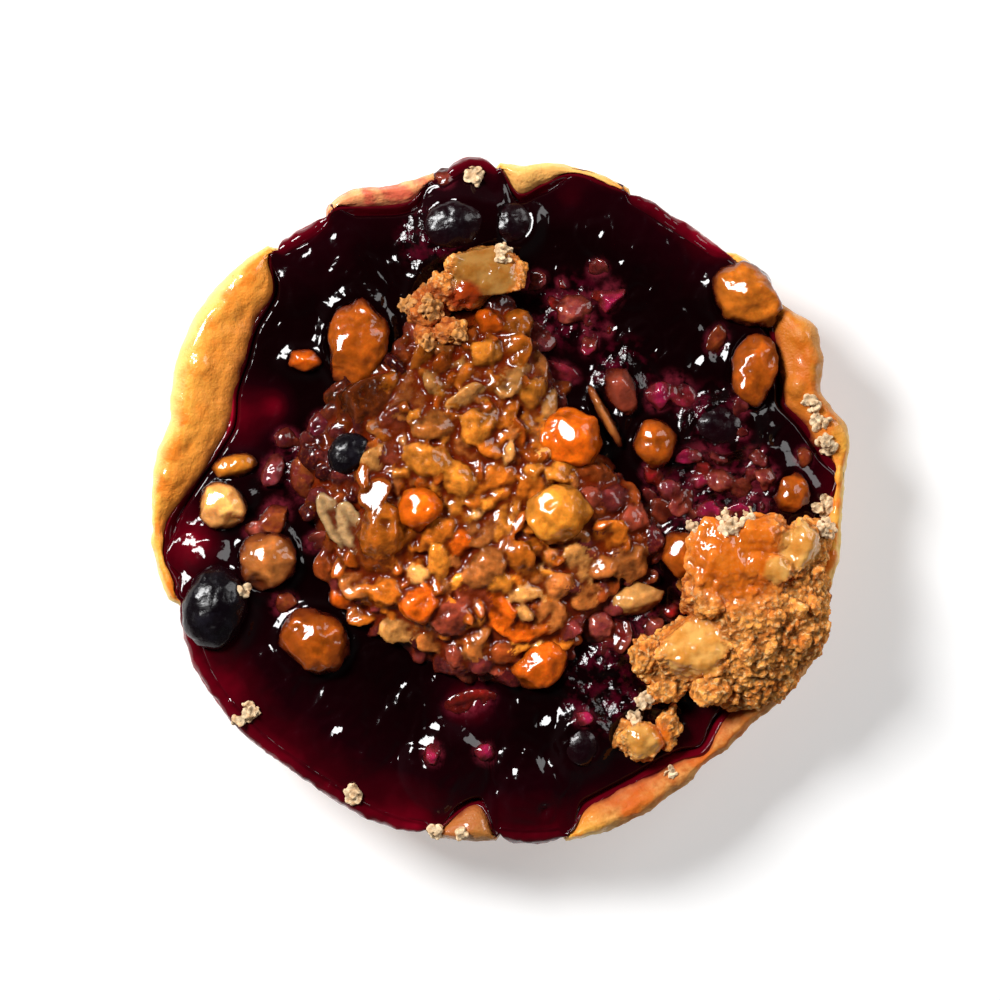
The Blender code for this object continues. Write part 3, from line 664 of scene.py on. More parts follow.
TINTS = {
    "amber": srgb(196, 112, 34), "golden": srgb(214, 138, 50), "orange": srgb(210, 98, 20),
    "tan": srgb(178, 110, 56), "pale": srgb(212, 156, 92), "pink": srgb(140, 64, 50),
    "mauve": srgb(106, 42, 46), "magenta": srgb(146, 24, 64), "brown": srgb(138, 66, 28),
    "olive": srgb(164, 102, 46), "red": srgb(138, 14, 22), "cream": srgb(214, 184, 142),
    "honey": srgb(166, 82, 20), "syrup": srgb(168, 88, 26), "crumb": srgb(236, 208, 168),
    "baked": srgb(204, 134, 62), "flame": srgb(226, 106, 18), "gold": srgb(228, 146, 50),
    "peach": srgb(252, 170, 92), "wine": srgb(74, 22, 28),
}


def shape_bit(kind, points, draw):
    """Turns the points of a ball of radius 1 into a kind of bit."""
    seed = draw.uniform(0, 90)
    x, y, z = points.T
    if kind == "pebble":
        grown = 1 + 0.20 * wobble(points, 0.8, seed, 2) + 0.07 * wobble(points, 0.3, seed, 1)
        return points * grown[:, None]
    if kind == "cluster":
        grown = 1 + 0.16 * wobble(points, 0.8, seed, 1) + 0.26 * np.abs(wobble(points, 0.45, seed, 2))
        return points * grown[:, None]
    if kind == "oat":
        outline = 1 + 0.10 * wobble(points, 0.7, seed, 2)
        groove = 0.5 * np.exp(-((y / 0.16) ** 2)) * np.clip(1 - x * x, 0, 1)
        cup = 0.35 * (x * x + y * y)
        dished = z * 0.8 - np.sign(z) * groove * 0.5 + cup - 0.15
        return np.stack([x * outline, y * outline, dished], axis=1)
    if kind == "chip":
        grown = points * (1 + 0.12 * wobble(points, 0.6, seed, 2))[:, None]
        for _ in range(7):
            side = Vector([draw.gauss(0, 1) for _ in range(3)]).normalized()
            past = grown @ np.array(side) - draw.uniform(0.55, 0.75)
            grown -= np.clip(past, 0, 1)[:, None] * np.array(side) * 0.93
        return grown * 1.2
    if kind == "flake":
        torn = 1 + 0.22 * wobble(points, 0.35, seed, 2) * ease(np.abs(x) * 1.5)
        curled = z * 0.5 + 0.5 * x * x + 0.3 * wobble(points, 0.8, seed, 1)
        return np.stack([x * torn, y * torn, curled], axis=1)
    if kind == "pool":
        outline = 1 + 0.3 * wobble(points * (1, 1, 0), 0.9, seed, 2)
        return np.stack([x * outline, y * outline, np.clip(z * 3.0, -1, 1)], axis=1)
    narrow = np.where(x > 0, 1 - 0.5 * x, 1.0)
    return np.stack([x, y * narrow, z * narrow], axis=1)


def add_bit(kind, x, y, z, size, turn, tint, draw, detail=3, lean=0.3, slope=(0, 0)):
    """One bit at its place: its length, width and thickness, its turn, its colour and how it slopes."""
    deselect()
    bpy.ops.mesh.primitive_ico_sphere_add(subdivisions=detail, radius=MM)
    bit = bpy.context.object
    shaped = shape_bit(kind, points_of(bit), draw) * (np.array(size) / 2)
    a, b = draw.uniform(-lean, lean), draw.uniform(-lean, lean)
    shaped[:, 2] += a * shaped[:, 0] + b * shaped[:, 1]
    c, s = math.cos(math.radians(turn)), math.sin(math.radians(turn))
    along_bit, across_bit, up = shaped.T
    spun = np.stack([along_bit * c - across_bit * s, along_bit * s + across_bit * c, up], axis=1)
    spun[:, 2] += slope[0] * spun[:, 0] + slope[1] * spun[:, 1]
    put_points(bit, spun + (x, y, z))
    colour = np.array(TINTS[tint]) * (1 + draw.uniform(-0.2, 0.2))
    note_colour(bit, colour.tolist(), 0.0 if kind == "pool" else 1.0)
    return bit


# Flat pools of syrup on the heap, tilted so that they shine: x, y, length, width, turn, lift
POOLS = [
    (-17.8, 0.8, 5.4, 3.8, 40, 2.3), (-19.6, 3.4, 2.0, 3.4, 10, 2.0),
    (-22.8, -9.4, 4.0, 1.8, 60, 1.6), (-21.8, -12.6, 1.8, 2.6, 10, 1.0),
    (-5.0, -16.4, 3.4, 1.5, -50, 1.4), (-3.0, -15.4, 1.4, 3.4, 20, 1.2),
    (-11.0, 8.0, 2.2, 1.4, 20, 1.4), (2.8, -3.2, 1.4, 4.2, -30, 1.4),
    (1.0, -5.6, 2.6, 1.2, 30, 1.2), (-2.0, 13.2, 2.0, 1.2, 30, 1.3),
    (14.4, -3.6, 2.4, 1.3, 20, 1.3), (-1.2, 23.0, 2.0, 1.2, 0, 1.3), (0.4, -6.0, 2.2, 1.0, 60, 1.3),
    (-8.8, 3.2, 1.4, 2.0, 0, 1.6), (-13.6, 13.2, 1.4, 1.8, 0, 1.6), (-18.0, 8.0, 1.6, 1.0, 40, 1.2),
    (-9.0, -12.4, 1.0, 2.6, 20, 1.5), (6.0, 6.0, 1.8, 1.0, 40, 1.2), (8.4, -8.8, 1.8, 1.0, 30, 1.2),
    (3.6, 17.0, 1.0, 1.6, 0, 1.4), (-14.6, -10.0, 1.2, 1.6, 0, 1.3),
    (-9.6, 17.0, 2.2, 1.2, 60, 1.0), (18.0, -6.0, 1.4, 2.2, 0, 1.2),
    (-24.4, -4.6, 1.2, 2.0, 0, 1.0),
]
# Bits that stand out in the heap: kind, x, y, length, width, turn, colour
HEAP_BITS = [
    ("chip", -18.6, 14.6, 8.0, 6.6, 30, "brown"), ("flake", -12.4, 15.1, 8.8, 5.0, 70, "tan"),
    ("oat", -4.0, 17.5, 6.4, 3.8, 60, "amber"), ("pebble", -3.0, 10.6, 6.2, 5.2, 20, "golden"),
    ("pebble", -10.3, 5.4, 7.4, 5.2, 160, "golden"), ("pebble", -6.0, 3.4, 6.6, 4.6, 150, "golden"),
    ("oat", -3.6, 7.0, 6.8, 3.8, -20, "tan"), ("oat", -14.8, 6.8, 5.4, 3.2, 10, "pink"),
    ("oat", -15.0, 11.0, 6.0, 4.0, 40, "pink"), ("chip", -9.0, 11.6, 6.6, 4.6, 30, "olive"),
    ("oat", 0.6, 13.4, 6.8, 4.2, 70, "amber"), ("chip", 3.8, 15.4, 5.6, 4.4, 50, "golden"),
    ("oat", 1.7, 20.6, 7.2, 4.6, 35, "amber"), ("pebble", -1.6, 25.2, 4.6, 4.2, 0, "orange"),
    ("pebble", 1.9, 24.4, 6.4, 4.4, 40, "amber"), ("pebble", -1.8, 21.0, 4.6, 4.2, 0, "golden"),
    ("oat", 5.2, 19.4, 5.2, 3.4, 120, "tan"), ("flake", 4.6, 12.0, 6.0, 3.4, 60, "golden"),
    ("oat", -23.8, -2.8, 8.6, 3.6, -62, "cream"), ("oat", -21.0, -4.2, 8.8, 3.8, -68, "cream"),
    ("pebble", -16.8, -4.2, 7.4, 8.4, 20, "amber"), ("kernel", -8.4, -9.0, 7.2, 3.8, -86, "golden"),
    ("oat", -20.3, -11.7, 5.8, 5.2, 30, "tan"), ("pebble", -16.2, -13.1, 5.4, 4.4, 0, "amber"),
    ("pebble", -11.3, -14.3, 6.8, 5.8, 60, "orange"), ("flake", -13.7, -18.3, 7.2, 4.8, 10, "pale"),
    ("oat", -2.6, -3.8, 6.2, 5.0, 60, "tan"), ("chip", -2.7, -9.3, 7.0, 5.0, 20, "tan"),
    ("oat", -3.7, -13.8, 6.0, 4.4, -30, "pink"), ("pebble", -6.5, -16.6, 6.2, 5.0, 20, "pink"),
    ("oat", -0.9, -15.5, 7.0, 4.6, -40, "orange"), ("pebble", -4.1, -21.4, 3.8, 3.6, 0, "tan"),
    ("oat", 2.0, -18.0, 6.6, 4.0, -20, "orange"), ("chip", 3.4, -13.1, 4.6, 4.2, 20, "pale"),
    ("oat", 6.9, -16.6, 5.8, 4.6, 60, "tan"), ("pebble", 2.4, -7.9, 5.4, 5.0, 0, "amber"),
    ("pebble", 0.0, -11.4, 4.4, 3.8, 0, "golden"), ("flake", 11.4, -9.3, 6.4, 5.0, -60, "pale"),
    ("oat", 15.5, -5.3, 6.0, 4.8, 40, "amber"), ("chip", 18.7, -8.6, 6.4, 5.2, 20, "tan"),
    ("pebble", 19.0, -2.4, 5.0, 4.2, 80, "pink"), ("chip", 22.3, -2.2, 5.0, 4.2, 20, "pink"),
    ("pebble", 15.9, 0.2, 4.8, 4.2, 0, "mauve"), ("oat", 12.6, -13.8, 5.2, 4.0, 30, "tan"),
    ("oat", 10.2, -5.8, 5.0, 3.4, 0, "tan"), ("oat", 4.2, 1.4, 5.6, 3.6, 70, "amber"),
    ("oat", 1.2, -1.6, 6.8, 3.4, 80, "golden"), ("chip", 0.2, 3.6, 5.6, 3.8, 40, "amber"),
    ("oat", 12.4, 3.2, 5.2, 3.6, 20, "brown"), ("pebble", 14.6, -9.6, 4.2, 3.6, 20, "tan"),
    ("pebble", 8.4, -12.2, 4.6, 3.8, 20, "tan"), ("pebble", -24.6, -9.6, 4.6, 4.4, 0, "brown"),
    ("pebble", -22.8, -14.0, 3.6, 3.4, 0, "orange"), ("oat", -19.8, -16.4, 5.0, 3.4, 20, "amber"),
    ("pebble", -8.8, -4.8, 5.6, 4.4, 40, "amber"), ("oat", -13.6, -8.2, 5.4, 3.6, 100, "amber"),
    ("pebble", -5.8, -5.8, 4.6, 4.0, 40, "orange"), ("oat", -7.0, 0.0, 6.4, 4.0, 60, "golden"),
    ("pebble", -17.4, 2.0, 5.2, 4.0, 20, "mauve"), ("oat", -19.4, 10.4, 4.4, 3.0, 120, "mauve"),
    ("pebble", 9.2, 15.8, 4.4, 3.4, 20, "amber"), ("oat", 8.4, -20.2, 4.4, 3.2, 0, "amber"),
    ("pebble", 0.6, -21.8, 4.0, 3.4, 20, "brown"), ("oat", -9.6, -20.2, 5.2, 3.4, 10, "tan"),
]
# A bit's thickness for its kind, as a share of its width
THICKNESS = {"pebble": 0.78, "oat": 0.52, "chip": 0.6, "flake": 0.34, "kernel": 0.8}


def neighbours_mean(piece, values, rounds):
    """Values at a piece's points, evened out over their neighbours a number of times."""
    ends = np.empty(len(piece.data.edges) * 2, np.int32)
    piece.data.edges.foreach_get("vertices", ends)
    a, b = ends.reshape(-1, 2).T
    count = len(values)
    share = np.bincount(a, minlength=count) + np.bincount(b, minlength=count) + 1e-9
    for _ in range(rounds):
        moved = [
            (np.bincount(a, values[b, k], count) + np.bincount(b, values[a, k], count)) / share
            for k in range(values.shape[1])
        ]
        values = np.stack(moved, axis=1)
    return values


def normals_of(piece):
    """The outward direction at each of a piece's points."""
    flat = np.empty(len(piece.data.vertices) * 3)
    piece.data.vertices.foreach_get("normal", flat)
    return flat.reshape(-1, 3)


def note_hollows(piece):
    """Keeps how far each point lies within a narrow and a wide hollow, below 0 on what stands out,
    and how steep it is, which the finishes use for painted shade.
    """
    points, normals = points_of(piece), normals_of(piece)
    around_it = neighbours_mean(piece, points, 12)
    note(piece, "hollow", ((around_it - points) * normals).sum(axis=1))
    around_it = neighbours_mean(piece, around_it, 60)
    note(piece, "deep", ((around_it - points) * normals).sum(axis=1))
    note(piece, "flank", np.clip(1 - neighbours_mean(piece, normals, 8)[:, 2], 0, 1))


def note_wet(piece, reach=1.6):
    """Keeps how much jam is on each point: 1 where it stands in the jam, less on what is high, and more
    on steep sides, where it paints shade along the edges seen from above.
    """
    points = points_of(piece)
    rise, _ = jam_relief(points * (1, 1, 0))
    low = np.clip(1 - (points[:, 2] - JAM_LEVEL - rise) / reach, 0, 1)
    # Steep sides count as wetter: painted shade along the edges seen from above, added to the jam's
    # wetting
    steep_painted_shade = np.clip(1 - normals_of(piece)[:, 2], 0, 1) ** 2
    note(piece, "wet", np.clip(low + 0.35 * steep_painted_shade, 0, 1))


def tints_of(piece):
    """The colours kept at a piece's points."""
    flat = np.empty(len(piece.data.vertices) * 4, np.float32)
    piece.data.attributes["tint"].data.foreach_get("color", flat)
    return flat.reshape(-1, 4)


def coated(name, pieces, voxel, rounding, grain):
    """Pieces under one wet skin: their forms run together, grainy, and each keeps its colour."""
    whole = joined(name, pieces)
    before, colours = points_of(whole), tints_of(whole)
    tree = KDTree(len(before))
    for i, spot in enumerate(before.tolist()):
        tree.insert(spot, i)
    tree.balance()
    applied(whole, "REMESH", mode="VOXEL", voxel_size=voxel * MM)
    nearest = [tree.find(spot)[1] for spot in points_of(whole).tolist()]
    applied(whole, "SMOOTH", factor=0.5, iterations=rounding)
    points = points_of(whole)
    swell = grain * (wobble(points, 1.6, 31, 2) + 0.7 * wobble(points, 0.7, 32, 1))
    swell *= colours[nearest][:, 3]
    put_points(whole, points + normals_of(whole) * swell[:, None])
    note_tints(whole, colours[nearest])
    note_hollows(whole)
    note_wet(whole)
    whole.data.shade_smooth()
    return whole


# How many small bits the heap holds, and how many places are tried for them
SMALL_BITS = 280
TRIES = 12000


def large_bits(draw):
    """The bits that stand out in the heap and its pools of syrup."""
    bits = []
    for kind, x, y, length, width, turn, tint in HEAP_BITS:
        thick = THICKNESS[kind] * width
        # The cream oats lie on top of the rest
        z = heap_top(x, y) + 0.12 * thick + (1.1 if tint == "cream" else 0.2)
        bits.append(add_bit(kind, x, y, z, (length, width, thick), turn, tint, draw, detail=4))
    for x, y, length, width, turn, lift in POOLS:
        z, size = heap_top(x, y) + lift, (length, width, 1.0)
        bits.append(add_bit("pool", x, y, z, size, turn, "syrup", draw, 4, 0, mirror_at(x, y)))
    return bits


def small_bits(draw):
    """Small bits that fill the heap between the larger ones, each a little smaller than the last."""
    taken = [(x, y, 0.25 * (length + width)) for _, x, y, length, width, _, _ in HEAP_BITS + JAM_BITS]
    taken += [(centre[0], centre[1], 0.5 * (half[0] + half[1])) for centre, half in TOPPINGS.values()]
    bits = []
    for _ in range(TRIES):
        if len(bits) == SMALL_BITS:
            break
        angle, share = draw.uniform(0, 360), math.sqrt(draw.random())
        reach = float(around(HEAP_REACH, angle)) * share * 1.03
        x = HEAP_CENTRE[0] + reach * math.cos(math.radians(angle))
        y = HEAP_CENTRE[1] + reach * math.sin(math.radians(angle))
        length = draw.uniform(2.6, 5.2) * (1.15 - 0.6 * len(bits) / SMALL_BITS)
        if any(math.hypot(x - cx, y - cy) < 0.70 * r + 0.14 * length for cx, cy, r in taken):
            continue
        taken.append((x, y, 0.3 * length))
        kind = draw.choice(("pebble", "oat", "pebble", "chip", "chip", "cluster"))
        # The jam stains those near the heap's edge and at its right and upper left
        if share > 0.88 or (x > 10 and y > -14) or (x < -18 and y > -2):
            colours = ("pink", "mauve", "wine", "brown")
        else:
            colours = ("amber", "golden", "tan", "pale", "amber", "honey")
        width = length * draw.uniform(0.55, 0.85)
        z = heap_top(x, y) + 0.3 + draw.uniform(-0.2, 0.3)
        size, turn = (length, width, 0.75 * width), draw.uniform(0, 180)
        bits.append(add_bit(kind, x, y, z, size, turn, draw.choice(colours), draw, 3, 0.6))
    return bits


def syrup_tints(points):
    """The ground of the heap is brown, and dark red near the jam."""
    share = np.clip(heap_share(points[:, 0], points[:, 1]), 0, 1)[:, None]
    dark = mixed(np.array(srgb(112, 48, 16)), np.array(srgb(52, 10, 12)), ease((share - 0.6) / 0.4))
    return np.hstack([dark, np.ones((len(dark), 1))])


def heap_shade(points):
    """How dark the syrup makes the heap at each place, and how red."""
    x, y = points[:, 0], points[:, 1]
    dim = 0.75 - 0.34 * ease((y - 8) / 8) + 0.15 * ease((-8 - y) / 4)
    dim -= 0.22 * ease((-12 - x) / 8) * ease((y + 8) / 6)
    return dim[:, None] * (1.0, 0.82, 0.62)


def stained(draw):
    """The small bits that lie in the jam."""
    bits = []
    for kind, x, y, length, width, turn, tint in JAM_BITS:
        thick = THICKNESS[kind] * width
        z = jam_top(x, y) - 0.12 * thick
        bits.append(add_bit(kind, x, y, z, (length, width, thick), turn, tint, draw, 4, 0.4))
    return bits


draw = random.Random(41)
heap_bits = [*large_bits(draw), *small_bits(draw)]
note_tints(syrup, syrup_tints(points_of(syrup)))
heap = coated("syrupy_heap", [syrup, *heap_bits], voxel=0.275, rounding=7, grain=0.12)
shades = tints_of(heap)
shades[:, :3] *= heap_shade(points_of(heap))
note_tints(heap, shades)
stained_bits = coated("stained_bits", stained(draw), voxel=0.2, rounding=3, grain=0.12)

# Toppings
# Pale nuts set in the clumps: x, y, z, radius, how light
PALE_NUTS = [
    (27.6, -21.4, 22.6, 5.0, 0.86), (43.0, -6.6, 24.0, 3.8, 0.8), (39.0, -10.0, 24.6, 2.2, 0.8),
    (-2.4, 32.2, 21.0, 5.2, 0.36), (20.4, -34.4, 19.6, 2.8, 0.75),
]
# Where syrup has soaked into the clumps: x, y, z, radius
SOAKED = [
    (33.5, -7.5, 22.5, 9.5), (27.5, -21.0, 21.0, 5.4), (-2.0, 32.0, 20.0, 6.0), (22.0, -34.0, 19.5, 3.0),
]
# Where darker syrup has run over the clumps: x, y, z, radius, how strongly
SYRUP_SPOTS = [
    (-5.0, 28.6, 21.4, 3.0, 0.95), (-10.8, 26.4, 19.4, 6.0, 0.6), (26.0, -14.0, 20.0, 3.4, 0.4),
]
# The height over which the toppings are pressed together
NEAR_TOP = 24.6
# Each node's finished topping
dressed = {}


def held_down(z):
    """Heights pressed together where they near the top of the tart."""
    return np.minimum(z, NEAR_TOP + 0.35 * (z - NEAR_TOP))


def chopped(points, centre, half, cuts, seed):
    """A lump's points with a few flat faces cut on it, as chopped nuts have."""
    shaper = random.Random(seed)
    unit = (points - centre) / half
    for _ in range(cuts):
        side = Vector((shaper.gauss(0, 1), shaper.gauss(0, 1), abs(shaper.gauss(0, 0.8)))).normalized()
        past = unit @ np.array(side) - shaper.uniform(0.68, 0.9)
        unit = unit - np.clip(past, 0, 1)[:, None] * np.array(side) * 0.92
    return centre + unit * half


def catching_light(points, centre, half, size):
    """A lump's points with a flat place, of a share of its skin, where its syrup catches the light."""
    across, up = mirror_at(*centre[:2])
    side = np.array(Vector(half * (-across, -up, 1)).normalized())
    unit = (points - centre) / half
    past = np.clip(unit @ side - np.quantile(unit @ side, 1 - size), 0, 1)
    return centre + (unit - past[:, None] * side * 0.97) * half


def dress(
    node, seed, voxel, rounding, coarse, fine, grow, folds=0.0, cuts=0, shine=0.0, wet_to=3.4, blobs=()
):
    """A topping with the form of its node and blobs set in it: chopped, rounded and then roughened.
    Coarse and fine roughness, grow and wet_to, how high the jam wets it, are in millimetres. shine is
    the share of its skin that catches the light."""
    piece = bpy.data.objects.new("whole_" + node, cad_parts[node].data.copy())
    bpy.context.scene.collection.objects.link(piece)
    piece.data.materials.clear()
    edit(piece, (bpy.ops.mesh.remove_doubles, {"threshold": 1e-6}))
    if blobs:
        shaper = random.Random(5)
        set_in = [add_bit(*blob, "tan", shaper, 4, 0) for blob in blobs]
        piece = joined("whole_" + node, [piece, *set_in])
    applied(piece, "REMESH", mode="VOXEL", voxel_size=voxel * MM)
    put_points(piece, chopped(points_of(piece), *TOPPINGS[node], cuts, int(seed) + 3))
    applied(piece, "SMOOTH", factor=0.6, iterations=rounding)
    points = points_of(piece)
    dry = np.ones(len(points))
    for x, y, z, radius, *_ in SOAKED + PALE_NUTS:
        away = np.linalg.norm(points - (x, y, z), axis=1)
        dry = np.minimum(dry, 0.25 + ease((away - 0.6 * radius) / (0.5 * radius)))
    gritty = wobble(points, 1.3 if node.startswith("crumble") else 0.9, seed + 5, 3)
    if node.startswith("crumble"):
        gritty = 2.4 * np.abs(gritty) - 0.5
    swell = grow + coarse * wobble(points, 2.6, seed, 2) * mixed(0.6, 1, dry) + fine * gritty * dry
    if folds:
        swell -= folds * np.clip(0.3 - np.abs(wobble(points, 3.4, seed + 9, 1)), 0, 1) * 3
    points = points + normals_of(piece) * swell[:, None]
    if shine:
        points = catching_light(points, *TOPPINGS[node], shine)
    points[:, 2] = held_down(points[:, 2])
    put_points(piece, points)
    note_hollows(piece)
    note_wet(piece, wet_to)
    piece.data.shade_smooth()
    dressed[node] = piece
    return piece


# The colour of each nugget, lump, nut and oat flake
NUGGET_TINTS = {
    "nugget_golden": "flame", "nugget_glazed": "gold", "nugget_orange": "flame", "nugget_left": "peach",
    "nugget_right": "honey", "lump_left": "tan", "lump_lower_left": "honey", "lump_upper_left": "honey",
    "lump_bottom": "orange", "lump_mid_right": "honey", "lump_rim": "amber", "lump_right": "honey",
    "lump_edge": "honey", "nut_rosy": "pink", "nut_pale": "pale", "oat_left": "gold",
    "oat_upper_left": "flame", "oat_shard": "tan",
}
# How much of their red, green and blue is left under the syrup
DULLED = (0.84, 0.76, 0.62)
# How oats and nuts, lumps, berries and the two sorts of crumble are made rough, in the words of dress
SLIM = {"voxel": 0.2, "rounding": 5, "coarse": 0.14, "fine": 0.08, "grow": 0.14, "cuts": 2}
LUMPY = {"voxel": 0.26, "rounding": 14, "coarse": 0.34, "fine": 0.08, "grow": 0.14, "cuts": 6}
PLUMP = {"voxel": 0.28, "rounding": 30, "coarse": 0.2, "fine": 0.05, "grow": 0.22, "folds": 0.14}
SANDY = {"voxel": 0.2, "rounding": 2, "coarse": 0.4, "fine": 0.26, "grow": 0.15}
CRAGGY = {"voxel": 0.24, "rounding": 2, "coarse": 0.5, "fine": 0.34, "grow": 0.1}
for order, (node, tint) in enumerate(NUGGET_TINTS.items()):
    if node.startswith(("oat", "nut")):
        piece = dress(node, order * 3.0, **SLIM)
    else:
        shine = 0.035 if node.startswith("nugget") else 0.012
        wet_to = 5.4 if node in ("lump_left", "lump_lower_left") else 3.4
        piece = dress(node, order * 3.0, shine=shine, wet_to=wet_to, **LUMPY)
    note_colour(piece, TINTS[tint] if tint == "peach" else np.array(TINTS[tint]) * DULLED)
for order, node in enumerate(n for n in TOPPINGS if n.startswith("berry")):
    dress(node, 60 + order, **PLUMP)
# The blobs set in the clumps of crumble: kind, x, y, z, length with width and thickness, turn
dress("crumble_big", 77, **CRAGGY, blobs=[
    ("chip", 27.6, -21.4, 20.8, (9.8, 8.2, 6.4), 20), ("cluster", 32.2, -8.4, 21.2, (10.6, 11.6, 6.0), 20),
    ("pebble", 37.4, -5.4, 21.8, (8.4, 7.0, 5.4), 0), ("pebble", 29.4, -13.6, 20.6, (6.6, 8.6, 5.2), 20),
    ("chip", 42.8, -6.6, 22.4, (4.0, 7.8, 4.2), -20), ("pebble", 36.6, -9.6, 22.2, (6.6, 6.4, 4.6), 0),
    ("chip", 21.4, -22.8, 18.6, (4.6, 5.6, 4.4), 0), ("chip", 24.2, -27.0, 18.4, (5.6, 4.4, 4.0), 20),
    ("chip", 39.0, -10.0, 23.4, (4.4, 3.8, 3.0), 10), ("chip", 30.0, -27.0, 19.6, (5.6, 4.2, 4.4), 40),
])
dress("crumble_top", 81, **SANDY, blobs=[
    ("chip", -2.4, 32.2, 19.6, (10.2, 7.4, 4.6), -12), ("chip", -7.4, 30.0, 19.0, (5.0, 4.4, 4.0), 30),
    ("chip", -10.4, 27.6, 18.4, (4.4, 3.6, 3.6), 70),
])
dress("crumble_small", 85, **SANDY, blobs=[
    ("pebble", 20.4, -34.4, 18.2, (5.4, 5.2, 3.6), 0),
])
clumps = [dressed["crumble_" + part] for part in ("big", "top", "small")]

# Dry crumbs that fell on the jam and the rim: x, y, size, how many grains
CRUMBS = [
    (-35.9, -30.1, 2.6, 36), (-37.6, -31.6, 1.4, 15), (-21.0, -42.2, 2.6, 36), (-9.3, -47.4, 1.8, 18),
    (-5.4, -47.6, 1.8, 18), (-36.6, -12.9, 1.4, 15), (-3.7, 46.4, 2.4, 24), (0.6, 35.2, 3.0, 24),
    (32.8, -3.1, 4.2, 48), (35.3, -1.9, 1.6, 15), (27.5, -3.8, 1.6, 15), (44.6, 13.7, 2.4, 24),
    (45.7, 11.3, 2.6, 27), (46.7, 7.9, 2.8, 30), (24.4, -39.2, 1.4, 12), (46.2, -0.8, 3.2, 36),
    (46.6, -4.0, 3.0, 30), (20.6, -28.6, 2.4, 18), (19.2, -31.0, 2.0, 15), (-9.8, 27.4, 3.6, 48),
    (-13.2, 28.0, 2.4, 24), (-10.2, 22.6, 2.6, 24), (-5.6, 23.4, 2.6, 27),
]


def surface_at(x, y):
    """The height of the shell, jam or toppings at a place, found from above."""
    start, down = Vector((x, y, 60)) * MM, Vector((0, 0, -1))
    found = [piece.ray_cast(start, down) for piece in (shell, jam, heap, *dressed.values())]
    return max([spot.z / MM for hit, spot, *_ in found if hit], default=JAM_LEVEL)


def crumb_bits(draw):
    """The grains of the dry crumbs, darker on the clump at the top of the heap."""
    bits = []
    for x, y, size, count in CRUMBS:
        tint = "baked" if -14 < x < -5 and 20 < y < 30 else "crumb"
        for _ in range(count):
            a, out = draw.uniform(0, 2 * math.pi), math.sqrt(draw.random())
            cx, cy = x + 0.45 * size * out * math.cos(a), y + 0.45 * size * out * math.sin(a)
            grain = draw.uniform(0.5, 1.2)
            heaped = draw.uniform(0, 0.4 * size) * (1 - out)
            z = held_down(surface_at(cx, cy) + heaped + 0.15 * grain)
            kind = draw.choice(("chip", "chip", "flake"))
            sizes = (grain * 1.2, grain * 0.9, grain * 0.8)
            bits.append(add_bit(kind, cx, cy, z, sizes, draw.uniform(0, 180), tint, draw, 2, 0.9))
    return bits


bpy.context.view_layer.update()
crumbs = coated("dry_crumbs", crumb_bits(draw), voxel=0.13, rounding=0, grain=0.16)


# Finishes
class Tone:
    """A number or colour that a material works out over a surface."""

    def __init__(self, socket):
        self.socket = socket

    def maths(self, operation, other, swapped=False):
        first, second = (other, self) if swapped else (self, other)
        node = self.socket.id_data.nodes.new("ShaderNodeMath")
        node.operation = operation
        for inlet, value in zip(node.inputs, (first, second)):
            feed(inlet, value)
        return Tone(node.outputs[0])

    def __add__(self, other):
        return self.maths("ADD", other)

    def __radd__(self, other):
        return self.maths("ADD", other, True)

    def __sub__(self, other):
        return self.maths("SUBTRACT", other)

    def __rsub__(self, other):
        return self.maths("SUBTRACT", other, True)

    def __mul__(self, other):
        return self.maths("MULTIPLY", other)

    def __rmul__(self, other):
        return self.maths("MULTIPLY", other, True)


def feed(inlet, value):
    """Wires a tone to a node's inlet, or sets a plain number or colour there."""
    if isinstance(value, Tone):
        inlet.id_data.links.new(value.socket, inlet)
    else:
        inlet.default_value = value


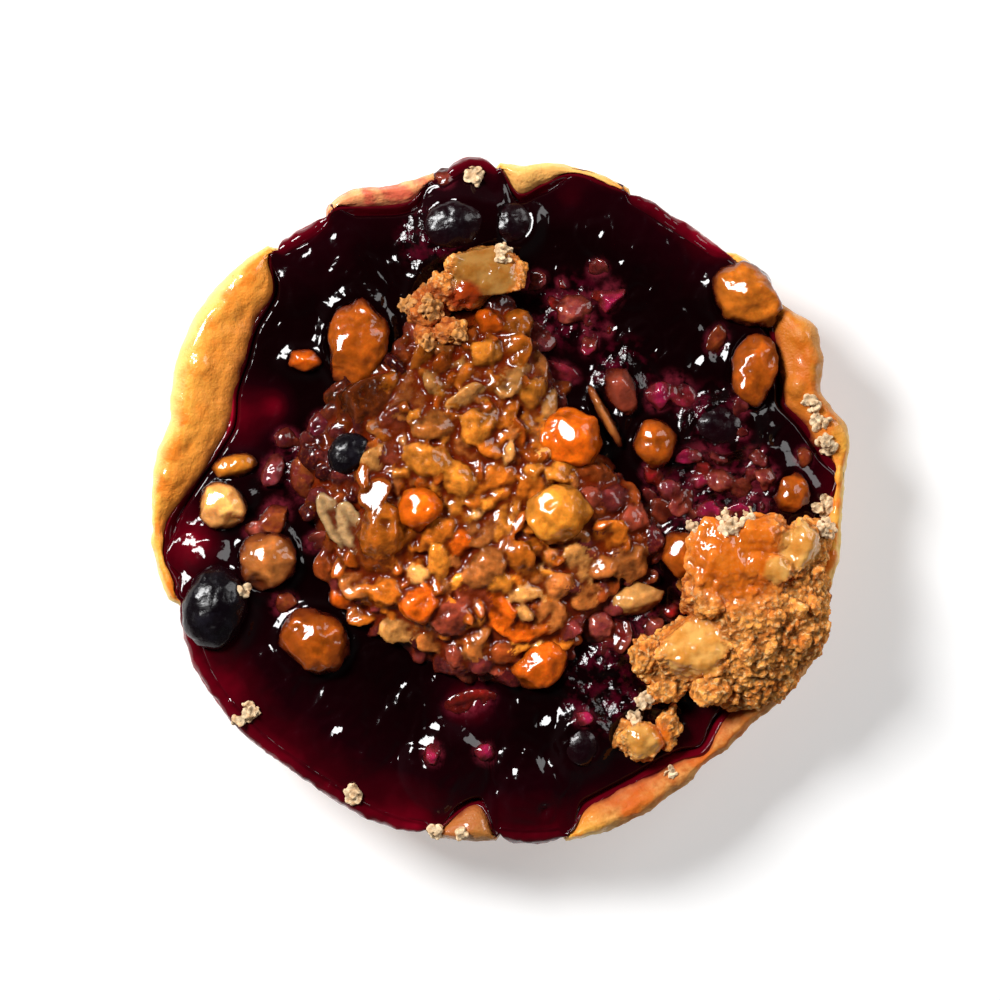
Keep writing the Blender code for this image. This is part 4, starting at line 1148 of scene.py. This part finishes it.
class Finish:
    """One material. Its patterns are laid in millimetres on the piece's own coordinates."""

    def __init__(self, name, **shader):
        self.material = bpy.data.materials.new(name)
        self.material.use_nodes = True
        self.nodes = self.material.node_tree.nodes
        self.shader = self.nodes["Principled BSDF"]
        for socket, value in shader.items():
            self.shader.inputs[socket.replace("_", " ")].default_value = value
        place = self.add("ShaderNodeTexCoord", outlet="Object")
        self.place = self.add("ShaderNodeMapping", inputs={"Vector": place, "Scale": (1000, 1000, 1000)})

    def add(self, kind, settings=None, inputs=None, outlet=0):
        node = self.nodes.new(kind)
        for name, value in (settings or {}).items():
            setattr(node, name, value)
        for name, value in (inputs or {}).items():
            feed(node.inputs[name], value)
        return Tone(node.outputs[outlet])

    def grain(self, size, detail=3.0, roughness=0.55):
        """Soft noise from 0 to 1 with features of a size."""
        inputs = {"Vector": self.place, "Scale": 1 / size, "Detail": detail, "Roughness": roughness}
        return self.add("ShaderNodeTexNoise", inputs=inputs)

    def cells(self, size):
        """Distance from the nearest of scattered points, 0 at each point."""
        return self.add("ShaderNodeTexVoronoi", inputs={"Vector": self.place, "Scale": 1 / size})

    def away_from(self, place):
        """Distance from a place, in millimetres."""
        settings = {"operation": "DISTANCE"}
        return self.add("ShaderNodeVectorMath", settings, {0: self.place, 1: place}, "Value")

    def kept(self, name, outlet="Fac"):
        """A number or colour kept at the piece's points."""
        return self.add("ShaderNodeAttribute", {"attribute_name": name}, outlet=outlet)

    def range(self, value, low, high, start=0.0, end=1.0):
        """The value moved from one range to another and held within it."""
        inputs = {"Value": value, "From Min": low, "From Max": high, "To Min": start, "To Max": end}
        return self.add("ShaderNodeMapRange", inputs=inputs)

    def mix(self, first, second, share):
        """One colour turning into another."""
        node = self.nodes.new("ShaderNodeMix")
        node.data_type = "RGBA"
        feed(node.inputs[0], share)
        for inlet, colour in ((node.inputs[6], first), (node.inputs[7], second)):
            feed(inlet, colour if isinstance(colour, Tone) else (*colour, 1.0))
        return Tone(node.outputs[2])

    def times(self, colour, amount):
        """A colour made darker or lighter."""
        settings = {"operation": "SCALE"}
        return self.add("ShaderNodeVectorMath", settings, {"Vector": colour, "Scale": amount})

    def ramp(self, value, *stops):
        """A colour for each value, through (value, colour) stops."""
        node = self.nodes.new("ShaderNodeValToRGB")
        feed(node.inputs[0], value)
        band = node.color_ramp.elements
        while len(band) < len(stops):
            band.new(0.5)
        for mark, (at, colour) in zip(band, stops):
            mark.position = at
            mark.color = (*colour, 1.0)
        return Tone(node.outputs[0])

    def finish(self, pieces, colour, roughness, height, depth):
        """Wires the colour, the roughness and a bump whose depth is in millimetres, and dresses pieces."""
        feed(self.shader.inputs["Base Color"], colour)
        feed(self.shader.inputs["Roughness"], roughness)
        bump = self.add("ShaderNodeBump", inputs={"Height": height, "Distance": depth * MM})
        feed(self.shader.inputs["Normal"], bump)
        for piece in pieces:
            piece.data.materials.clear()
            piece.data.materials.append(self.material)


def pastry_finish():
    """Baked pastry: a pale crest, its cream partly a painted highlight, between a browned wall and an
    inner slope that darkens to red at the jam, with its zones and painted light on the left inner slope.
    """
    f = Finish(
        "baked_pastry", IOR=1.3, Coat_Roughness=0.1, Subsurface_Weight=0.06, Subsurface_Scale=0.0012
    )
    inward = f.kept("inward")
    amber, blond, rosy, left, brown, dry = (f.kept(zone) for zone in ZONES)
    blotch, speck, fine = f.grain(4.5), f.grain(1.1, 4.0), f.grain(0.35, 2.0)
    # The pale cream at the rim's outer edge is partly the pastry's own colour and partly a painted
    # highlight, made brighter where the edge slopes away from the light
    band = f.ramp(
        f.range(inward + 0.22 * (blotch - 0.5), -1.0, 1.2),
        (0.0, srgb(186, 108, 46)), (0.3, srgb(222, 146, 68)), (0.4, srgb(242, 188, 106)),
        (0.46, srgb(252, 222, 150)), (0.52, srgb(253, 212, 124)), (0.62, srgb(250, 180, 70)),
        (0.76, srgb(242, 156, 58)), (0.9, srgb(226, 132, 52)), (1.0, srgb(160, 72, 32)),
    )
    top = f.range(inward + 0.5 * (blotch - 0.5), -0.6, -0.1)
    band = f.mix(band, srgb(166, 88, 36), f.range(f.grain(6.0), 0.46, 0.66) * (1.0 - top) * 0.6)
    slope = f.range(inward, 0.12, 0.34) - f.range(inward, 0.6, 0.85)
    orange = f.range(f.grain(3.2), 0.44, 0.6) * slope
    colour = f.mix(band, srgb(240, 114, 12), orange * 0.8)
    # Painted light: the left rim's inner slope, which faces away from the light, made lighter and more
    # orange
    inside = f.range(inward, 0.35, 0.6) - f.range(inward, 0.94, 1.02)
    colour = f.mix(colour, srgb(254, 160, 60), left * inside * 0.6)
    colour = f.mix(colour, srgb(255, 196, 112), blond * top * 0.7)
    colour = f.mix(colour, srgb(186, 94, 20), amber * top * 0.7)
    colour = f.mix(colour, srgb(160, 92, 48), brown * top * 0.8)
    sandy = f.mix(srgb(210, 144, 76), srgb(168, 92, 38), f.range(speck, 0.4, 0.66))
    sandy = f.mix(sandy, srgb(200, 94, 24), f.range(f.grain(5.5), 0.5, 0.62))
    colour = f.mix(colour, sandy, dry * top * 0.85)
    uneven = inward + 0.3 * (blotch - 0.5)
    colour = f.mix(colour, srgb(190, 78, 28), f.range(uneven, 0.5, 0.85) * dry * 0.6)
    colour = f.mix(colour, srgb(150, 74, 26), f.range(speck, 0.68, 0.76) * 0.5)
    colour = f.mix(colour, srgb(182, 92, 46), f.range(uneven, 0.78, 1.0) * 0.45)
    colour = f.mix(colour, srgb(252, 166, 126), rosy * top * 0.6)
    colour = f.mix(colour, srgb(214, 60, 58), rosy * top * f.range(f.grain(3.0), 0.42, 0.58) * 0.7)
    colour = f.mix(colour, srgb(96, 14, 16), f.range(inward + 0.4 * (blotch - 0.5), 0.9, 1.06) * 0.95)
    roughness = f.range(speck, 0.3, 0.7, 0.3, 0.6) + 0.24 * dry
    f.finish([shell], colour, roughness, blotch * 0.5 + speck + fine * 0.4, 0.22)
    feed(f.shader.inputs["Coat Weight"], f.range(f.grain(2.6), 0.5, 0.6) * (1.0 - dry) * 0.7)


def jam_finish():
    """Dark glossy jam, red where it is thin and pink over pulp and bits."""
    f = Finish("berry_jam", IOR=1.36)
    depth, pulp, halo = f.kept("depth"), f.kept("pulp"), f.kept("halo")
    cloudy = f.grain(5.0)
    shade = f.ramp(
        f.range(depth + 2.0 * (cloudy - 0.5), 0.0, 9.0),
        (0.0, srgb(186, 22, 50)), (0.08, srgb(140, 6, 30)), (0.18, srgb(92, 2, 16)),
        (0.36, srgb(52, 1, 8)), (0.62, srgb(24, 1, 5)), (1.0, srgb(11, 1, 2)),
    )
    shade = f.mix(shade, srgb(92, 8, 32), pulp * f.range(f.grain(2.0), 0.46, 0.7) * 0.7)
    shade = f.mix(shade, srgb(112, 30, 44), halo * f.range(f.grain(1.0), 0.3, 0.6) * 0.75)
    f.finish([jam], shade, 0.08, f.grain(2.0, 1.5) + pulp * f.grain(0.6, 2.0) * 0.9, 0.16)


def wet_finish(name, pieces, wine, dark, red=0.0, bumps=0.2, clear=0.3, pits=0.5, pale=0.5):
    """Syrup over oats or nuts: painted shade in the hollows and on steep flanks, painted light on what
    stands out, syrup darker and redder in the gaps, partly painted shade too, and wine red where the jam
    is near. The numbers say how strong the wine red, dark specks, red stains and pale patches are, how
    deep the bumps are in millimetres, how far light enters the syrup, and how light the painted shade
    leaves the pits."""
    f = Finish(
        name, IOR=1.14, Coat_Weight=0.9, Coat_Roughness=0.04, Coat_IOR=1.38,
        Subsurface_Weight=clear, Subsurface_Scale=0.0016, Subsurface_Radius=(1.0, 0.5, 0.2),
    )
    tint = f.kept("tint", "Color")
    cloud, fine = f.grain(1.9, 3.0), f.grain(0.5, 3.0)
    hollow, deep, wet, flank = (f.kept(kept) for kept in ("hollow", "deep", "wet", "flank"))
    colour = f.times(tint, f.range(cloud, 0.3, 0.7, 0.68, 1.36))
    colour = f.mix(colour, f.times(colour, 1.8), f.range(f.grain(2.8), 0.5, 0.66) * pale)
    colour = f.mix(colour, srgb(140, 62, 14), f.range(fine, 0.54, 0.70) * dark)
    # Painted shade on steep flanks, a little lighter on flat tops
    colour = f.times(colour, f.range(flank + 0.3 * (cloud - 0.5), 0.12, 0.75, 1.1, 0.4))
    # Painted shade in the narrow hollows, painted light on what stands out
    colour = f.times(colour, f.range(hollow, -0.16, 0.1, 1.8 - 0.8 * pits, pits))
    # Syrup pooled dark and red in the wide and narrow gaps, partly painted shade
    colour = f.mix(colour, srgb(122, 44, 6), f.range(deep, -0.05, 0.42) * 0.8)
    colour = f.mix(colour, srgb(98, 24, 4), f.range(hollow, 0.02, 0.16) * (1.2 - pits))
    if red:
        colour = f.mix(colour, srgb(104, 14, 40), f.range(f.grain(1.5), 0.44, 0.62) * red)
    # wet holds the jam's wetting and, on steep sides, painted shade
    colour = f.mix(colour, srgb(104, 34, 12), f.range(wet + 0.5 * (cloud - 0.5), 0.3, 0.75) * wine * 0.8)
    colour = f.mix(colour, srgb(40, 3, 8), f.range(wet + 0.5 * (cloud - 0.5), 0.6, 1.0) * wine)
    f.finish(pieces, colour, f.range(cloud, 0.3, 0.7, 0.1, 0.28), cloud + fine * 0.45, bumps)


def berry_finish():
    """Dark berry skin with a grey bloom, glossy and dark red where the jam wets it, and with painted shade
    on its steep sides.
    """
    f = Finish("berry_skin", IOR=1.3, Coat_Weight=0.2, Coat_Roughness=0.08)
    bloom = f.range(f.grain(2.2, 4.0), 0.5, 0.74)
    colour = f.mix(srgb(11, 6, 10), srgb(36, 33, 42), bloom * (1.0 - f.kept("wet")) * 0.5)
    colour = f.mix(colour, srgb(24, 2, 6), f.kept("wet"))
    roughness = f.range(f.grain(0.9, 3.0), 0.35, 0.65, 0.16, 0.36)
    berries = [piece for node, piece in dressed.items() if node.startswith("berry")]
    f.finish(berries, colour, roughness, f.grain(1.2, 4.0), 0.16)


def crumble_finish():
    """Dry sandy crumble with pale nuts, soaked with glossy syrup in places, with painted shade in its pits
    and hollows and painted light on what stands out.
    """
    f = Finish(
        "sandy_crumble", IOR=1.2, Coat_IOR=1.4, Coat_Roughness=0.05,
        Subsurface_Weight=0.1, Subsurface_Scale=0.001,
    )
    coarse, fine, pits = f.grain(2.4, 4.0), f.grain(0.6, 4.0), f.cells(0.9)
    hollow = f.kept("hollow")
    sandy = f.mix(srgb(248, 164, 76), srgb(212, 118, 44), f.range(coarse, 0.38, 0.64))
    sandy = f.mix(sandy, srgb(252, 212, 146), f.range(fine, 0.52, 0.64) * 0.7)
    # Dark specks between the cells: painted shade of pits between the grains
    sandy = f.mix(sandy, srgb(92, 44, 18), f.range(pits, 0.58, 0.8) * 0.6)
    # Painted shade in the hollows, painted light on what stands out
    sandy = f.times(sandy, f.range(hollow, -0.2, 0.16, 1.2, 0.42))
    wet = 0.0
    for *place, radius in SOAKED:
        wet = wet + f.range(f.away_from(place) + 3.0 * (coarse - 0.5), radius, radius * 0.6)
    wet = f.range(wet, 0.0, 1.0)
    soaked = f.mix(srgb(234, 120, 16), srgb(204, 84, 8), coarse)
    # The soaked parts get painted shade in their hollows too
    colour = f.mix(sandy, f.times(soaked, f.range(hollow, -0.2, 0.2, 1.1, 0.6)), wet * 0.85)
    nut_tone = f.mix(srgb(250, 186, 98), srgb(230, 152, 62), f.range(coarse, 0.4, 0.6))
    nut = 0.0
    for *place, radius, light in PALE_NUTS:
        over = f.range(f.away_from(place) + 2.0 * (coarse - 0.5), radius, radius * 0.75)
        colour = f.mix(colour, f.times(nut_tone, light), over * 0.9)
        nut = nut + over
    nut = f.range(nut, 0.0, 1.0)
    for *place, radius, strength in SYRUP_SPOTS:
        stain = f.range(f.away_from(place) + 2.0 * (coarse - 0.5), radius, radius * 0.7) * strength
        colour = f.mix(colour, srgb(156, 50, 10), stain)
    # Dark red where the jam wets the clumps, and painted shade on their steep sides
    colour = f.mix(colour, srgb(60, 8, 14), f.range(f.kept("wet"), 0.7, 1.0) * 0.6)
    wet = f.range(wet + nut, 0.0, 1.0)
    roughness = f.range(wet, 0.0, 1.0, 0.8, 0.16)
    f.finish(clumps, colour, roughness, coarse * 0.4 + fine * 0.7 * (1.0 - wet), 0.6)
    feed(f.shader.inputs["Coat Weight"], wet)


def crumb_finish():
    """Dry pale crumb, with painted shade in its hollows and painted light on what stands out."""
    f = Finish("pale_crumb", IOR=1.4)
    colour = f.mix(f.kept("tint", "Color"), srgb(196, 146, 96), f.range(f.grain(0.8), 0.42, 0.62) * 0.7)
    # Painted shade in the hollows, painted light on what stands out
    colour = f.times(colour, f.range(f.kept("hollow"), -0.12, 0.12, 1.15, 0.5))
    f.finish([crumbs], colour, 0.8, f.grain(0.4), 0.2)


pastry_finish()
jam_finish()
wet_finish("syrupy_oats", [heap], wine=0.85, dark=0.3, bumps=0.24, pits=0.34)
wet_finish("stained_oats", [stained_bits], wine=0.8, dark=0.2, red=0.55, pale=0.0)
nuggets = [dressed[node] for node in NUGGET_TINTS]
wet_finish("syrupy_nuggets", nuggets, wine=0.85, dark=0.12, bumps=0.14, clear=0.45, pits=0.8, pale=0.6)
berry_finish()
crumble_finish()
crumb_finish()

for piece in (shell, jam, heap, stained_bits, crumbs, *dressed.values()):
    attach(piece, "root")
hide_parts("crust")
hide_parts("jam")
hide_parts("crumble_heap")
for node, piece in dressed.items():
    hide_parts(node)


# Floor, light and camera, with places and sizes in metres
deselect()
bpy.ops.mesh.primitive_plane_add(size=4)
floor = bpy.context.object
floor.name = "floor"
white = Finish(
    "white_floor", Base_Color=(0.62, 0.62, 0.62, 1), Roughness=0.9,
    Emission_Color=(1, 1, 1, 1), Emission_Strength=0.42,
)
floor.data.materials.append(white.material)


def softbox(name, place, width, power):
    """A square light that faces the tart."""
    light = bpy.data.lights.new(name, "AREA")
    light.size = width
    light.energy = power
    lamp = bpy.data.objects.new(name, light)
    bpy.context.scene.collection.objects.link(lamp)
    lamp.location = place
    lamp.rotation_euler = (Vector((0, 0, 0.01)) - Vector(place)).to_track_quat("-Z", "Y").to_euler()


softbox("key_light", (-0.44, 0.32, 0.60), 0.24, 8.8)
softbox("side_light", (0.45, 0.30, 0.40), 0.30, 1.6)
# A studio that is dark straight above and light towards the horizon
world = bpy.data.worlds.new("studio")
world.use_nodes = True
sky = world.node_tree.nodes
height = sky.new("ShaderNodeSeparateXYZ")
dimmer = sky.new("ShaderNodeMapRange")
for inlet, value in (("From Min", 0.98), ("From Max", 0.42), ("To Min", 0.02), ("To Max", 1.6)):
    dimmer.inputs[inlet].default_value = value
wires = world.node_tree.links
wires.new(sky.new("ShaderNodeTexCoord").outputs["Generated"], height.inputs[0])
wires.new(height.outputs[2], dimmer.inputs["Value"])
wires.new(dimmer.outputs[0], sky["Background"].inputs[1])
bpy.context.scene.world = world

# Straight above the tart and 600 mm from its rim, so that 1 mm there is 7 pixels of a picture 1000 across
camera = bpy.data.objects.new("camera", bpy.data.cameras.new("camera"))
bpy.context.scene.collection.objects.link(camera)
camera.location = (0, 0, 0.618)
camera.data.sensor_width = 36
camera.data.lens = 151.2
bpy.context.scene.camera = camera
bpy.context.scene.view_settings.view_transform = "Standard"
